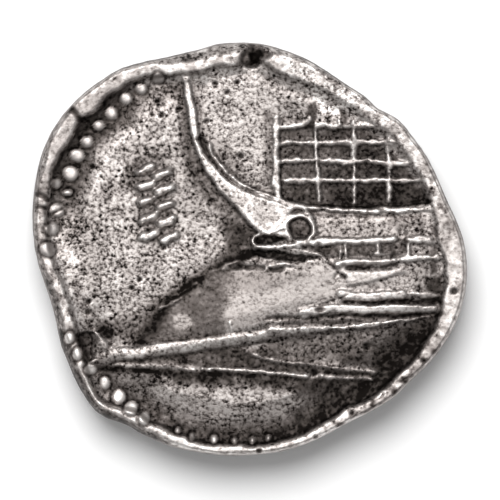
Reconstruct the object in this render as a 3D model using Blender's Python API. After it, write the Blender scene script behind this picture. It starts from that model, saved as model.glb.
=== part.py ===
"""A silver tetradrachm, struck on both sides and lying with its ship side up.

The flan is a thick, irregular disc. Its upper side is a shallow sunk field inside a raised rim, with a
dotted circle and the prow of a war galley. Its lower side is a lion's mask, worn flat where it stood
highest, and the coin lies on those flats.
"""

import math

import bmesh
import bpy
import numpy as np

# Sizes are in millimetres, from the middle of the coin: X runs to the right of the ship side, Y up it,
# and Z up from the table. MM turns them into metres.
MM = 0.001
COIN = "tetradrachm_coin"

# The flan's outer radius, and the rim's width, at every 15 degrees, anticlockwise from +X.
FLAN_RADII = (
    13.40, 12.60, 12.40, 12.05, 11.90, 12.40, 12.85, 12.80, 13.45, 14.10, 14.30, 13.85,
    13.32, 12.75, 13.15, 13.90, 13.45, 13.00, 12.85, 12.60, 12.40, 12.85, 13.30, 13.66,
)
RIM_WIDTHS = (
    1.10, 0.70, 0.70, 0.65, 0.90, 1.20, 1.20, 0.75, 0.80, 0.95, 0.95, 0.80,
    0.75, 0.60, 0.50, 0.60, 0.65, 0.50, 0.50, 0.55, 0.55, 0.70, 0.80, 1.20,
)
DIRECTIONS = 84

# Heights above the table.
UNDER_FIELD = 0.70
UNDER_BORDER = 0.95
WAIST = 2.45
FIELD = 3.88
CHANNEL = 3.52
RIM = 4.42
RIM_LEAN = 0.10
RIM_HIGHEST = math.radians(150)

# The channel that the dotted circle lies in fades out under the ship and along the top.
CHANNEL_MIDDLE = math.radians(225)
CHANNEL_SPREAD = math.radians(150)
CHANNEL_EVEN = 0.45

# The dotted circle: its centre and radius, and each run of beads as (first angle, step, count).
DOT_CIRCLE = (-0.75, -0.19, 11.62)
DOT_RUNS = ((114.6, 5.87, 12), (201.8, 5.53, 8), (251.2, 5.70, 6))
DOT_RADIUS = 0.36
DOT_RISE = 0.34

# Every raised piece runs this far down into the flan, and a curved one has this many spans to a point.
ROOT = 0.80
RIDGE_SPANS = 3

# Ridges of the ship as (points along the middle, half width at each end, height at each end).
RIDGES = {
    "inner_stem": (
        ((-2.50, 6.70), (-1.89, 5.24), (-0.65, 4.12), (0.90, 3.32), (2.63, 2.76)),
        (0.10, 0.14), (0.14, 0.26),
    ),
    "gunwale": (((2.30, 2.86), (3.63, 2.57), (6.23, 2.47), (12.20, 2.57)), (0.16, 0.15), (0.44, 0.34)),
    "upper_wale": (((0.40, 0.28), (4.06, 0.32), (8.71, 0.53), (12.60, 0.60)), (0.15, 0.17), (0.52, 0.42)),
    "snout_ridge": (((-1.46, -0.96), (-0.28, -0.78), (2.20, -0.71)), (0.13, 0.14), (0.42, 0.56)),
    "second_wale": (((3.90, -0.80), (8.83, -0.78), (12.60, -0.55)), (0.15, 0.16), (0.54, 0.44)),
    "third_wale": (((5.67, -2.76), (9.64, -2.88), (12.60, -2.80)), (0.16, 0.16), (0.50, 0.42)),
    "fourth_wale": (((3.13, -3.69), (6.85, -3.63), (12.50, -3.87)), (0.18, 0.20), (0.60, 0.42)),
    "ram": (
        ((-9.55, -6.38), (-7.80, -6.30), (-4.93, -6.00), (-1.21, -5.66), (2.51, -5.14), (6.85, -4.72)),
        (0.46, 0.16), (0.52, 0.46),
    ),
    "ram_root": (((6.50, -4.76), (9.33, -4.43), (12.10, -4.02)), (0.16, 0.12), (0.46, 0.34)),
    "snout_upper_lip": (((-9.66, -4.95), (-9.46, -5.74), (-8.90, -6.30)), (0.16, 0.30), (0.34, 0.46)),
    "snout_lower_lip": (((-10.30, -7.20), (-9.58, -6.95), (-8.80, -6.45)), (0.16, 0.30), (0.30, 0.44)),
    "under_ram": (
        ((-9.60, -7.12), (-8.53, -6.98), (-7.10, -6.92), (-5.20, -7.18)),
        (0.14, 0.16), (0.30, 0.26),
    ),
    "keel": (
        ((-5.40, -7.16), (-3.69, -7.23), (0.65, -7.53), (3.13, -7.72), (7.97, -8.03)),
        (0.12, 0.13), (0.24, 0.26),
    ),
    "inner_keel": (
        ((-0.46, -6.17), (0.90, -6.65), (2.63, -7.04), (4.06, -7.22), (7.97, -7.60)),
        (0.09, 0.08), (0.24, 0.18),
    ),
}

# The curved stem is a flat blade: points along its middle as (x, y, half width).
STEM = (
    (-4.03, 11.45, 0.14), (-3.75, 9.27, 0.19), (-3.48, 7.25, 0.18), (-2.85, 5.70, 0.22),
    (-1.95, 4.40, 0.28), (-0.70, 3.22, 0.55), (0.75, 2.25, 0.92), (2.55, 1.76, 0.94),
)
STEM_RISE = (0.22, 0.52)

# The forecastle's lattice: posts as (x, lowest y, highest y) and rails as (first x, last x, y).
POSTS = ((1.64, 3.05, 8.40), (4.22, 2.70, 7.97), (6.48, 2.66, 7.91), (8.68, 2.70, 7.78))
RAILS = (
    (1.62, 3.30, 7.59), (4.10, 5.50, 7.72), (6.30, 8.90, 7.76),
    (1.64, 9.20, 6.64), (1.60, 10.40, 5.40), (1.95, 11.00, 4.31),
)
POST_HALF = 0.12
FIRST_POST_HALF = 0.19
RAIL_HALF = 0.11
LATTICE_RISE = 0.16
LATTICE_DEPTH = 0.16
LATTICE_PANEL = (
    (1.70, 3.10), (1.72, 7.50), (8.70, 7.60), (10.30, 6.20), (11.25, 4.60), (11.55, 2.80), (5.00, 2.60),
)

# Struts that stand between the first two wales: (x, lowest y, highest y).
STRUTS = ((5.92, -0.70, 0.40), (7.97, -0.70, 0.45), (9.83, -0.65, 0.50), (11.20, -0.60, 0.55))

# The ship's side, as stations along it: (x, upper edge, lower edge, swell above the field).
HULL_STATIONS = (
    (-6.80, -5.50, -6.15, 0.00), (-5.55, -3.95, -6.10, 0.08), (-4.00, -2.60, -5.95, 0.17),
    (-2.40, -1.25, -5.80, 0.30), (-0.60, -0.45, -5.60, 0.44), (0.90, 1.20, -5.40, 0.50),
    (2.60, 2.20, -5.15, 0.52), (5.00, 2.30, -4.90, 0.44), (8.00, 2.35, -4.60, 0.32),
    (12.50, 2.40, -3.90, 0.22),
)
HULL_SWELL = ((0.07, 0.35), (0.35, 0.62), (0.60, 1.0), (0.86, 0.80))
HULL_EDGE = -0.10

# The eye that is set in the bow, and the slot of the mouth under it.
EYE = (3.07, 1.30)
EYE_RING = 0.79
EYE_RING_HALF = 0.16
EYE_RISE = 0.60
EYE_PIT = 0.60
MOUTH = (1.27, 0.66)
MOUTH_SIZE = (0.95, 0.24)
MOUTH_TURN = math.radians(-4)

# Two short rows of plain strokes stand left of the ship: first stroke's middle, step and count.
STROKE_ROWS = ((-5.95, 4.75), (-5.20, 4.95))
STROKE_STEP = (0.06, -1.08)
STROKES_A_ROW = 5
STROKE_LENGTH = 0.62
STROKE_HALF = 0.11
STROKE_RISE = 0.18
STROKE_SLANTS = (math.radians(62), math.radians(-58))

# Damage at the rim: (x, y, z, radius across, radius along, radius up).
CHIPS = (
    (0.20, 11.95, 4.55, 0.85, 0.58, 0.80), (0.85, 11.90, 4.50, 0.55, 0.36, 0.55),
    (-10.55, 8.50, 4.60, 0.35, 0.30, 0.35), (0.55, -12.70, 4.30, 0.22, 0.45, 0.40),
)
PITS = ((4.31, -3.81, 0.24), (-8.82, -6.36, 0.17), (-10.00, -3.90, 0.19))

# The lion's mask under the coin, mirrored across X = 0: (x, y, radius across, radius along, lowest z).
MASK_HEAD = (0.0, -0.20, 5.90, 6.20, 0.26)
MASK_MIDDLE = (
    ("nose_bridge", 0.0, 1.20, 1.30, 3.60, -0.12), ("nose_tip", 0.0, -1.75, 1.50, 1.00, -0.18),
    ("chin", 0.0, -4.60, 1.60, 1.00, -0.02), ("forehead", 0.0, 4.30, 2.10, 1.20, 0.04),
)
MASK_SIDES = (
    ("eye", 2.15, 1.10, 1.00, 0.75, 0.02),
    ("muzzle", 1.50, -2.75, 1.75, 1.45, -0.14), ("cheek", 3.95, -0.95, 1.35, 1.75, -0.05),
    ("ear", 4.20, 4.55, 1.30, 1.20, 0.10),
)
MASK_BROW = ((0.70, 1.75), (1.90, 2.70), (4.00, 2.75))
BROW_HALF = (0.62, 0.34)
BROW_RISE = (0.80, 0.62)
MANE_LOCKS = 20
MANE_INSIDE = 5.60
MANE_OUTSIDE = 9.20
MANE_CURL = math.radians(11)
MANE_HALVES = (1.02, 0.80, 0.12)
MANE_RISES = (0.64, 0.50, 0.20)

SILVER = (0.50, 0.48, 0.465, 1.0)
SILVER_ROUGHNESS = 0.42


def clear_scene():
    for old in list(bpy.data.objects):
        bpy.data.objects.remove(old, do_unlink=True)


def new_collection(name):
    collection = bpy.data.collections.new(name)
    bpy.context.scene.collection.children.link(collection)
    return collection


def silver():
    material = bpy.data.materials.new("struck silver")
    material.use_nodes = True
    shader = material.node_tree.nodes["Principled BSDF"]
    shader.inputs["Base Color"].default_value = SILVER
    shader.inputs["Metallic"].default_value = 1.0
    shader.inputs["Roughness"].default_value = SILVER_ROUGHNESS
    return material


def object_from(shape, name, collection):
    """Turns a bmesh in millimetres into an object in metres, with its faces pointing out."""
    bmesh.ops.recalc_face_normals(shape, faces=shape.faces)
    bmesh.ops.scale(shape, vec=(MM, MM, MM), verts=shape.verts)
    mesh = bpy.data.meshes.new(name)
    shape.to_mesh(mesh)
    shape.free()
    made = bpy.data.objects.new(name, mesh)
    collection.objects.link(made)
    return made


def tool_from(shape, name, collection):
    """A shape that is only joined to the coin or cut from it, so it is not seen itself."""
    made = object_from(shape, name, collection)
    made.hide_render = True
    made.display_type = "WIRE"
    return made


def around(values, angle):
    """A smooth value at an angle, from values that stand at even steps round the circle."""
    place = (angle / math.tau) % 1.0 * len(values)
    first = int(place)
    part = place - first
    before, start, end, after = (values[(first + step) % len(values)] for step in (-1, 0, 1, 2))
    bend = 2 * before - 5 * start + 4 * end - after
    twist = 3 * (start - end) + after - before
    return start + 0.5 * part * (end - before + part * (bend + part * twist))


def smooth_path(points, spans):
    """Points on a smooth curve through the given ones, spans to each gap."""
    given = [np.array(point, float) for point in points]
    given = [2 * given[0] - given[1], *given, 2 * given[-1] - given[-2]]
    path = []
    for before, start, end, after in zip(given, given[1:], given[2:], given[3:]):
        for step in range(spans):
            part = step / spans
            bend = 2 * before - 5 * start + 4 * end - after
            twist = 3 * (start - end) + after - before
            path.append(start + 0.5 * part * (end - before + part * (bend + part * twist)))
    path.append(given[-2])
    return path


def loft(rings):
    """A closed skin over rings that have the same number of corners, with flat ends."""
    shape = bmesh.new()
    corners = [[shape.verts.new(corner) for corner in ring] for ring in rings]
    for low, high in zip(corners, corners[1:]):
        for i in range(len(low)):
            shape.faces.new((low[i - 1], low[i], high[i], high[i - 1]))
    shape.faces.new(corners[0])
    shape.faces.new(corners[-1][::-1])
    return shape


def rounded(half, rise):
    """The section of a ridge with a worn, round crest."""
    shoulder = 0.62 * half
    crown = ((-shoulder, 0.74 * rise), (0, rise), (shoulder, 0.74 * rise))
    return ((-half, -ROOT), (-half, 0), *crown, (half, 0), (half, -ROOT))


def flat_topped(half, rise):
    """The section of a ridge with a flat top and steep sides."""
    top = half - 0.07
    return ((-half, -ROOT), (-half, 0), (-top, rise), (top, rise), (half, 0), (half, -ROOT))


def hanging(half, rise):
    """The section of a ridge that stands out of the lower side."""
    return [(side, -up) for side, up in rounded(half, rise)]


def sweep(path, halves, rises, section, ground):
    """Carries a section along a path, square to it."""
    rings = []
    for i, (place, half, rise) in enumerate(zip(path, halves, rises)):
        along = path[min(i + 1, len(path) - 1)][:2] - path[max(i - 1, 0)][:2]
        across = np.array((-along[1], along[0])) / np.hypot(*along)
        ring = []
        for side, up in section(half, rise):
            flat = place[:2] + side * across
            ring.append((flat[0], flat[1], ground + up))
        rings.append(ring)
    return loft(rings)


def ridge(name, points, half, rise, collection, section=rounded, ground=FIELD):
    """A ridge whose half width and height run evenly from one end to the other."""
    path = smooth_path(points, RIDGE_SPANS if len(points) > 2 else 1)
    halves = np.linspace(*half, len(path))
    rises = np.linspace(*rise, len(path))
    tool_from(sweep(path, halves, rises, section, ground), name, collection)


def bar(name, start, end, half, rise, collection):
    ridge(name, (start, end), (half, half), (rise, rise), collection, flat_topped)


def dome(name, place, radii, collection, segments=12, rings=8):
    """An ellipsoid, of which only a cap stands out of the coin."""
    shape = bmesh.new()
    bmesh.ops.create_uvsphere(shape, u_segments=segments, v_segments=rings, radius=1.0)
    bmesh.ops.scale(shape, vec=radii, verts=shape.verts)
    bmesh.ops.translate(shape, vec=place, verts=shape.verts)
    return tool_from(shape, name, collection)


def drill(name, place, radius, bottom, top, collection):
    shape = bmesh.new()
    bmesh.ops.create_cone(
        shape, cap_ends=True, segments=16, radius1=radius, radius2=radius * 1.15, depth=top - bottom
    )
    bmesh.ops.translate(shape, vec=(*place, (top + bottom) / 2), verts=shape.verts)
    return tool_from(shape, name, collection)


def channel_depth(angle):
    """How strong the sunk channel is in this direction, from 0 to 1."""
    away = abs(math.remainder(angle - CHANNEL_MIDDLE, math.tau))
    fading = max(0.0, away / CHANNEL_SPREAD - CHANNEL_EVEN) / (1 - CHANNEL_EVEN)
    return 0.5 + 0.5 * math.cos(math.pi * min(1.0, fading))


def flan(collection):
    """The struck disc without its relief: rings from the middle of one side, round the edge, to the other."""
    rings = []

    def ring(radius_at, height_at):
        corners = []
        for i in range(DIRECTIONS):
            angle = math.tau * i / DIRECTIONS
            radius = radius_at(angle)
            corners.append((radius * math.cos(angle), radius * math.sin(angle), height_at(angle)))
        rings.append(corners)

    def edge(angle):
        return around(FLAN_RADII, angle)

    def inside(angle):
        return edge(angle) - around(RIM_WIDTHS, angle)

    def rim_height(angle):
        return RIM + RIM_LEAN * math.cos(angle - RIM_HIGHEST)

    def channel(angle):
        return FIELD - (FIELD - CHANNEL) * channel_depth(angle)

    ring(lambda a: 0.30 * edge(a), lambda a: UNDER_FIELD)
    ring(lambda a: 0.68 * edge(a), lambda a: UNDER_FIELD + 0.06)
    ring(lambda a: edge(a) - 1.90, lambda a: UNDER_BORDER)
    ring(lambda a: edge(a) - 0.80, lambda a: UNDER_BORDER + 0.28)
    ring(lambda a: edge(a) - 0.20, lambda a: UNDER_BORDER + 0.78)
    ring(edge, lambda a: WAIST + 0.15 * math.sin(2 * a + 1.0))
    ring(lambda a: edge(a) - 0.10, lambda a: WAIST + 0.95)
    ring(lambda a: edge(a) - 0.36, lambda a: rim_height(a) - 0.30)
    ring(lambda a: edge(a) - 0.55 * around(RIM_WIDTHS, a), rim_height)
    ring(lambda a: inside(a) + 0.08, lambda a: rim_height(a) - 0.14)
    ring(lambda a: inside(a) - 0.25, lambda a: channel(a) + 0.14)
    ring(lambda a: inside(a) - 0.85, channel)
    ring(lambda a: inside(a) - 1.45, lambda a: channel(a) + 0.04)
    ring(lambda a: inside(a) - 2.40, lambda a: FIELD - 0.05 * channel_depth(a))
    ring(lambda a: 0.35 * edge(a), lambda a: FIELD)
    return object_from(loft(rings), "coin", collection)


def lattice_panel(collection):
    """The sunk ground between the bars of the lattice."""
    rings = [[(x, y, z) for x, y in LATTICE_PANEL] for z in (FIELD - LATTICE_DEPTH, FIELD + 1.0)]
    return tool_from(loft(rings), "lattice_ground", collection)


def lattice(collection):
    for i, (x, low, high) in enumerate(POSTS):
        half = POST_HALF if i else FIRST_POST_HALF
        bar(f"post_{i + 1}", (x, low), (x, high), half, LATTICE_RISE, collection)
    for i, (first, last, y) in enumerate(RAILS):
        bar(f"rail_{i + 1}", (first, y), (last, y), RAIL_HALF, LATTICE_RISE - 0.03, collection)
    for i, (x, low, high) in enumerate(STRUTS):
        bar(f"strut_{i + 1}", (x, low), (x, high), POST_HALF, 0.44, collection)


def hull(collection):
    rings = []
    for x, high, low, swell in HULL_STATIONS:
        ring = [(x, high, FIELD - ROOT), (x, high, FIELD + HULL_EDGE)]
        for share, factor in HULL_SWELL:
            ring.append((x, high + share * (low - high), FIELD + factor * swell))
        ring += [(x, low, FIELD + HULL_EDGE), (x, low, FIELD - ROOT)]
        rings.append(ring)
    tool_from(loft(rings), "hull", collection)


def stem(collection):
    path = smooth_path(STEM, 2)
    rises = np.linspace(*STEM_RISE, len(path))
    halves = [place[2] for place in path]
    tool_from(sweep(path, halves, rises, flat_topped, FIELD), "stem", collection)


def eye(collection):
    """A ring of metal round the eye, open below, as an arc of a ridge."""
    steps = 16
    turns = np.radians(np.linspace(-50, 232, steps + 1))
    path = [np.array((EYE[0] + EYE_RING * math.cos(t), EYE[1] + EYE_RING * math.sin(t))) for t in turns]
    halves = [EYE_RING_HALF] * len(path)
    rises = [EYE_RISE] * len(path)
    tool_from(sweep(path, halves, rises, rounded, FIELD), "eye_ring", collection)


def strokes(collection):
    """Rows of plain slanting strokes, each row leaning the other way."""
    for row, (x, y) in enumerate(STROKE_ROWS):
        slant = STROKE_SLANTS[row]
        reach = 0.5 * STROKE_LENGTH * np.array((math.cos(slant), math.sin(slant)))
        for i in range(STROKES_A_ROW):
            middle = np.array((x, y)) + i * np.array(STROKE_STEP)
            ends = (middle - reach, middle + reach)
            bar(f"stroke_{row + 1}_{i + 1}", *ends, STROKE_HALF, STROKE_RISE, collection)


def dots(collection):
    middle_x, middle_y, radius = DOT_CIRCLE
    for run, (first, step, count) in enumerate(DOT_RUNS):
        for i in range(count):
            angle = math.radians(first + i * step)
            place = (middle_x + radius * math.cos(angle), middle_y + radius * math.sin(angle), CHANNEL)
            dome(f"dot_{run + 1}_{i + 1}", place, (DOT_RADIUS, DOT_RADIUS, DOT_RISE), collection, 8, 6)


def lion_mask(collection):
    """A plain frontal lion's face in low relief under the coin, ringed by locks of mane."""

    def feature(name, x, y, across, along, lowest):
        middle = UNDER_FIELD + 0.10
        dome(name, (x, y, middle), (across, along, middle - lowest), collection)

    feature("head", *MASK_HEAD)
    for part in MASK_MIDDLE:
        feature(*part)
    for name, x, y, *sizes in MASK_SIDES:
        feature(f"left_{name}", -x, y, *sizes)
        feature(f"right_{name}", x, y, *sizes)
    for side in (-1, 1):
        brow = [(side * x, y) for x, y in MASK_BROW]
        ridge(f"brow_{side}", brow, BROW_HALF, BROW_RISE, collection, hanging, UNDER_FIELD)
    for i in range(MANE_LOCKS):
        angle = math.tau * (i + 0.5) / MANE_LOCKS
        points = []
        for share in (0.0, 0.5, 1.0):
            radius = MANE_INSIDE + share * (MANE_OUTSIDE - MANE_INSIDE)
            turn = angle + MANE_CURL * share * share
            points.append(np.array((radius * math.cos(turn), radius * math.sin(turn))))
        lock = sweep(points, MANE_HALVES, MANE_RISES, hanging, UNDER_BORDER)
        tool_from(lock, f"lock_{i + 1}", collection)


def marks(collection):
    """Everything that is cut last: the eye's pit, the mouth, chips, pits and the worn flats below."""
    drill("eye_pit", EYE, EYE_PIT, FIELD + 0.12, FIELD + 1.2, collection)
    mouth = dome("mouth", (0, 0, 0), (*MOUTH_SIZE, 0.34), collection)
    mouth.rotation_euler.z = MOUTH_TURN
    mouth.location = (MOUTH[0] * MM, MOUTH[1] * MM, (FIELD + 0.48) * MM)
    for i, (x, y, z, across, along, up) in enumerate(CHIPS):
        dome(f"chip_{i + 1}", (x, y, z), (across, along, up), collection)
    for i, (x, y, radius) in enumerate(PITS):
        drill(f"pit_{i + 1}", (x, y), radius, FIELD + 0.05, FIELD + 1.2, collection)
    shape = bmesh.new()
    bmesh.ops.create_cube(shape, size=1.0)
    bmesh.ops.scale(shape, vec=(20.0, 20.0, 1.0), verts=shape.verts)
    bmesh.ops.translate(shape, vec=(0, 0, -0.5), verts=shape.verts)
    tool_from(shape, "wear_plane", collection)


def combine(coin, operation, collection):
    modifier = coin.modifiers.new(collection.name, "BOOLEAN")
    modifier.operation = operation
    modifier.solver = "EXACT"
    modifier.operand_type = "COLLECTION"
    modifier.collection = collection


def main():
    clear_scene()
    coins = new_collection(COIN)
    sunk = new_collection("sunk_ground")
    raised = new_collection("relief")
    cut = new_collection("cuts_and_wear")
    coin = flan(coins)
    coin.data.materials.append(silver())
    lattice_panel(sunk)
    hull(raised)
    stem(raised)
    for name, (points, half, rise) in RIDGES.items():
        ridge(name, points, half, rise, raised)
    lattice(raised)
    eye(raised)
    strokes(raised)
    dots(raised)
    lion_mask(raised)
    marks(cut)
    combine(coin, "DIFFERENCE", sunk)
    combine(coin, "UNION", raised)
    combine(coin, "DIFFERENCE", cut)
    coin.data.shade_smooth()
    coin.data.set_sharp_from_angle(angle=math.radians(32))


main()
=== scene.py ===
# %% [markdown]
# # A worn silver tetradrachm
# The coin is a thick lump of silver that was struck between two dies. This lesson dresses its plain packed
# solid: one dense mesh takes the struck relief, and a few masks tell the silver where dirt sits, where hands
# have rubbed it bright and where shade and light are painted on. The imported solid comes first, because it
# fixes the size and the place.

# %% Load the imported coin
import bpy
import math
import numpy as np
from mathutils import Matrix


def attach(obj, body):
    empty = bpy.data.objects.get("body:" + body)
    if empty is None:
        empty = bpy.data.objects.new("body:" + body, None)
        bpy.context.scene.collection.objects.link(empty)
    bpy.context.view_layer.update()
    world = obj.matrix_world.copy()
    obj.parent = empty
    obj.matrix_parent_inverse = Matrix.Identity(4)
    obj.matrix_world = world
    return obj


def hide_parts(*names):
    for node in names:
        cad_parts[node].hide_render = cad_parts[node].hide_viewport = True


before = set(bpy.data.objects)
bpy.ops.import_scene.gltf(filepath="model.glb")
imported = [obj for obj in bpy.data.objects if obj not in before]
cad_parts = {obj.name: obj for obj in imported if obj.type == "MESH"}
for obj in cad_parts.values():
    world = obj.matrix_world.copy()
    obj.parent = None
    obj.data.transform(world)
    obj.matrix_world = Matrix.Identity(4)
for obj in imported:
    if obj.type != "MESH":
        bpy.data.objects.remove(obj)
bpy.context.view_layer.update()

# %% [markdown]
# ## A sheet to work the relief on
# A die cutter works on one flat face, so the relief is worked here on one flat sheet of heights too: a square
# grid of cells, each a small fraction of a millimetre wide. Modelling every stroke as its own mesh would
# leave joints between them; on a sheet they melt into each other as struck metal does. All sizes are in
# millimetres from the middle of the coin, X to the right of the ship side and Y up it.

# %% The sheet of heights
MM = 0.001
CELL = 0.0285
CELLS = 1024
SIDE = (np.arange(CELLS) - (CELLS - 1) / 2) * CELL
ACROSS, UPWARD = np.meshgrid(SIDE, SIDE)
print("the sheet covers", round(2 * SIDE[-1], 2), "mm in steps of", CELL)

# %% [markdown]
# Two tools serve everywhere on the sheet. One softens it, as wear softens an edge. The other gives even
# random hills of a chosen size, for whatever a hand or the ground leaves uneven. Every random tool takes a
# seed, so that the coin comes out the same each time.

# %% Soften a sheet and make random hills
WAVES = np.fft.fftfreq(CELLS, CELL)[:, None] ** 2 + np.fft.rfftfreq(CELLS, CELL)[None, :] ** 2


def soften(sheet, size):
    """Blurs a sheet over this many millimetres."""
    return np.fft.irfft2(np.fft.rfft2(sheet) * np.exp(-2 * (math.pi * size) ** 2 * WAVES), s=sheet.shape)


def hills(size, seed):
    """Random hills of about this size, mostly between -2 and 2 high."""
    rough = soften(np.random.default_rng(seed).standard_normal((CELLS, CELLS)), size)
    return rough / rough.std()


def full(value, most):
    """How much of this most a value reaches, from 0 to 1."""
    return np.clip(value / most, 0, 1)


def ease(part):
    """A smooth step from 0 to 1."""
    part = np.clip(part, 0, 1)
    return part * part * (3 - 2 * part)


# %% [markdown]
# No line on the die is ruled. The drawing tools read their place from slightly bent axes, so every straight
# line comes out with the small wander of a hand-held graver.

# %% Bend the drawing axes a little
SHORT_WANDER, LONG_WANDER = 0.020, 0.035
HAND_X = ACROSS + SHORT_WANDER * hills(0.16, 1) + LONG_WANDER * hills(0.7, 2)
HAND_Y = UPWARD + SHORT_WANDER * hills(0.16, 3) + LONG_WANDER * hills(0.7, 4)
UNEVEN = 0.030 * hills(0.09, 24) + 0.022 * hills(0.25, 25)
print("lines wander by up to", round(float(np.abs(HAND_X - ACROSS).max()), 3), "mm")

# %% [markdown]
# Strokes and outlines are given as a few points. A smooth curve is put through them, and each cell near it
# learns how far away the stroke is and how far along it lies. From that one distance come ridges, grooves
# and filled patches alike.

# %% Find the cells near a stroke
FAR = 99.0
SPANS = 5


def between(before, start, end, after, part):
    """A smooth run from start at part 0 to end at part 1, led by the values on either side of them."""
    bend = 2 * before - 5 * start + 4 * end - after
    twist = 3 * (start - end) + after - before
    return start + 0.5 * part * (end - before + part * (bend + part * twist))


def curve(points):
    """A smooth curve through the points, in a few spans to each gap."""
    points = np.array(points, float)
    given = [2 * points[0] - points[1], *points, 2 * points[-1] - points[-2]]
    fours = zip(given, given[1:], given[2:], given[3:])
    return np.array([*(between(*four, step / SPANS) for four in fours for step in range(SPANS)), points[-1]])


def window(points, reach):
    """The rows and columns of the sheet that lie within reach of these points."""
    low, high = np.min(points, axis=0) - reach, np.max(points, axis=0) + reach
    return slice(*np.searchsorted(SIDE, (low[1], high[1]))), slice(*np.searchsorted(SIDE, (low[0], high[0])))


def near(path, reach):
    """(place on the sheet, distance from the path, share of the way along it) for the cells within reach."""
    place = window(path, reach)
    x, y = HAND_X[place], HAND_Y[place]
    distance, share = np.full(x.shape, FAR), np.zeros(x.shape)
    steps = np.diff(path, axis=0)
    lengths = np.hypot(*steps.T)
    done = np.concatenate([[0], np.cumsum(lengths)])
    for start, step, length, before in zip(path, steps, lengths, done):
        part = np.clip(((x - start[0]) * step[0] + (y - start[1]) * step[1]) / length**2, 0, 1)
        away = np.hypot(x - start[0] - part * step[0], y - start[1] - part * step[1])
        closer = away < distance
        distance[closer], share[closer] = away[closer], (before + part[closer] * length) / done[-1]
    return place, distance, share


# %% [markdown]
# A stroke is laid on a layer with a half width, a height and softness of its sides. Widths and heights may
# run from one value to another along it. Where two strokes cross, the higher one wins, as on a real die,
# where the graver can't cut the same metal away twice.

# %% Lay strokes and patches on a layer
def run(value, share):
    """A value at each share of the way, where the value may be (first, last)."""
    first, last = value if isinstance(value, tuple) else (value, value)
    return first + (last - first) * share


def stroke(layer, points, half, height, side=0.06):
    """Raises the layer to this height along a stroke."""
    path = curve(points) if len(points) > 2 else np.array(points, float)
    widest = max(half) if isinstance(half, tuple) else half
    place, distance, share = near(path, widest + side)
    body = ease((run(half, share) + side - distance - UNEVEN[place]) / (2 * side))
    layer[place] = np.maximum(layer[place], run(height, share) * body)
    return place, body


def filled(points, feather):
    """(place, how far inside) of a closed outline: 1 well inside, 0 outside, blended over the feather."""
    loop = np.array([*points, points[0]], float)
    place, distance, _ = near(loop, 2 * feather)
    x, y = HAND_X[place], HAND_Y[place]
    inside = np.zeros(x.shape, bool)
    for (ax, ay), (bx, by) in zip(loop, loop[1:]):
        if ay != by:
            inside ^= ((ay > y) != (by > y)) & (x < ax + (y - ay) * (bx - ax) / (by - ay))
    return place, ease(0.5 + 0.5 * np.where(inside, distance, -distance) / feather)


def patch(points, feather):
    """A new layer with the inside of a closed outline filled."""
    layer = np.zeros(ACROSS.shape)
    place, inside = filled(points, feather)
    layer[place] = inside
    return layer


def blob(layer, x, y, across, along, height, power=2.0):
    """Raises the layer to a rounded bump."""
    place = window(((x - across, y - along), (x + across, y + along)), 0.1)
    away = np.hypot((HAND_X[place] - x) / across, (HAND_Y[place] - y) / along)
    layer[place] = np.maximum(layer[place], height * np.sqrt(np.clip(1 - away**power, 0, 1)))


# %% [markdown]
# ## The flan
# The blank was a cast lump hammered between the dies, so its outline is lopsided and its rim is uneven. The
# outline and the rim's width are given every 15 degrees with a smooth curve between. The radii are those of the
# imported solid, so that both agree; only small dents and bulges are added to them here.

# %% The outline and the rim
FLAN_RADII = (
    13.40, 12.60, 12.40, 12.05, 11.90, 12.40, 12.85, 12.80, 13.45, 14.10, 14.30, 13.85,
    13.32, 12.75, 13.15, 13.90, 13.45, 13.00, 12.85, 12.60, 12.40, 12.85, 13.30, 13.66,
)
RIM_WIDTHS = (
    1.62, 1.00, 0.92, 1.00, 0.98, 1.25, 1.25, 1.38, 0.88, 1.16, 1.18, 1.05,
    0.88, 0.92, 1.02, 0.86, 0.84, 0.64, 0.52, 0.60, 0.80, 0.84, 0.96, 1.12,
)
CREST_STARTS = (
    0.08, 0.08, 0.08, 0.10, 0.12, 0.24, 0.62, 0.82, 0.26, 0.17, 0.19, 0.24,
    0.24, 0.42, 0.50, 0.38, 0.36, 0.10, 0.07, 0.06, 0.06, 0.06, 0.07, 0.08,
)
CHANNEL_DEPTHS = (
    0.00, -0.30, -0.50, -0.50, -0.40, -0.20, 0.00, 0.05, 0.60, 1.00, 1.00, 0.85,
    0.00, -0.40, 0.40, 0.95, 0.90, 0.80, 0.90, 1.00, 1.00, 1.00, 0.90, 0.40,
)
DENTS = (
    (40, 0.14, 4), (48, -0.17, 3), (99, 0.12, 4), (114, -0.12, 5), (126, 0.09, 4), (207, 0.09, 5), (222, -0.1, 5),
    (235, -0.34, 5), (243, -0.12, 4), (270, -0.08, 6), (322, -0.12, 5),
)
WAIST, CHANNEL, FIELD, RIM = 2.45, 3.52, 3.88, 4.42


def around(values, angle):
    """A smooth value at each angle, from values at even steps round the circle."""
    values = np.asarray(values)
    place = (angle / math.tau) % 1.0 * len(values)
    first = np.floor(place).astype(int)
    return between(*(values[(first + step) % len(values)] for step in (-1, 0, 1, 2)), place - first)


def outline(angle):
    """The flan's radius at each angle: the smooth outline with its small dents and bulges in degrees."""
    radius = around(FLAN_RADII, angle)
    for middle, bulge, spread in DENTS:
        off = np.degrees(np.remainder(angle - math.radians(middle) + math.pi, math.tau) - math.pi)
        radius = radius + bulge * np.exp(-((off / spread) ** 2))
    return radius


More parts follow.
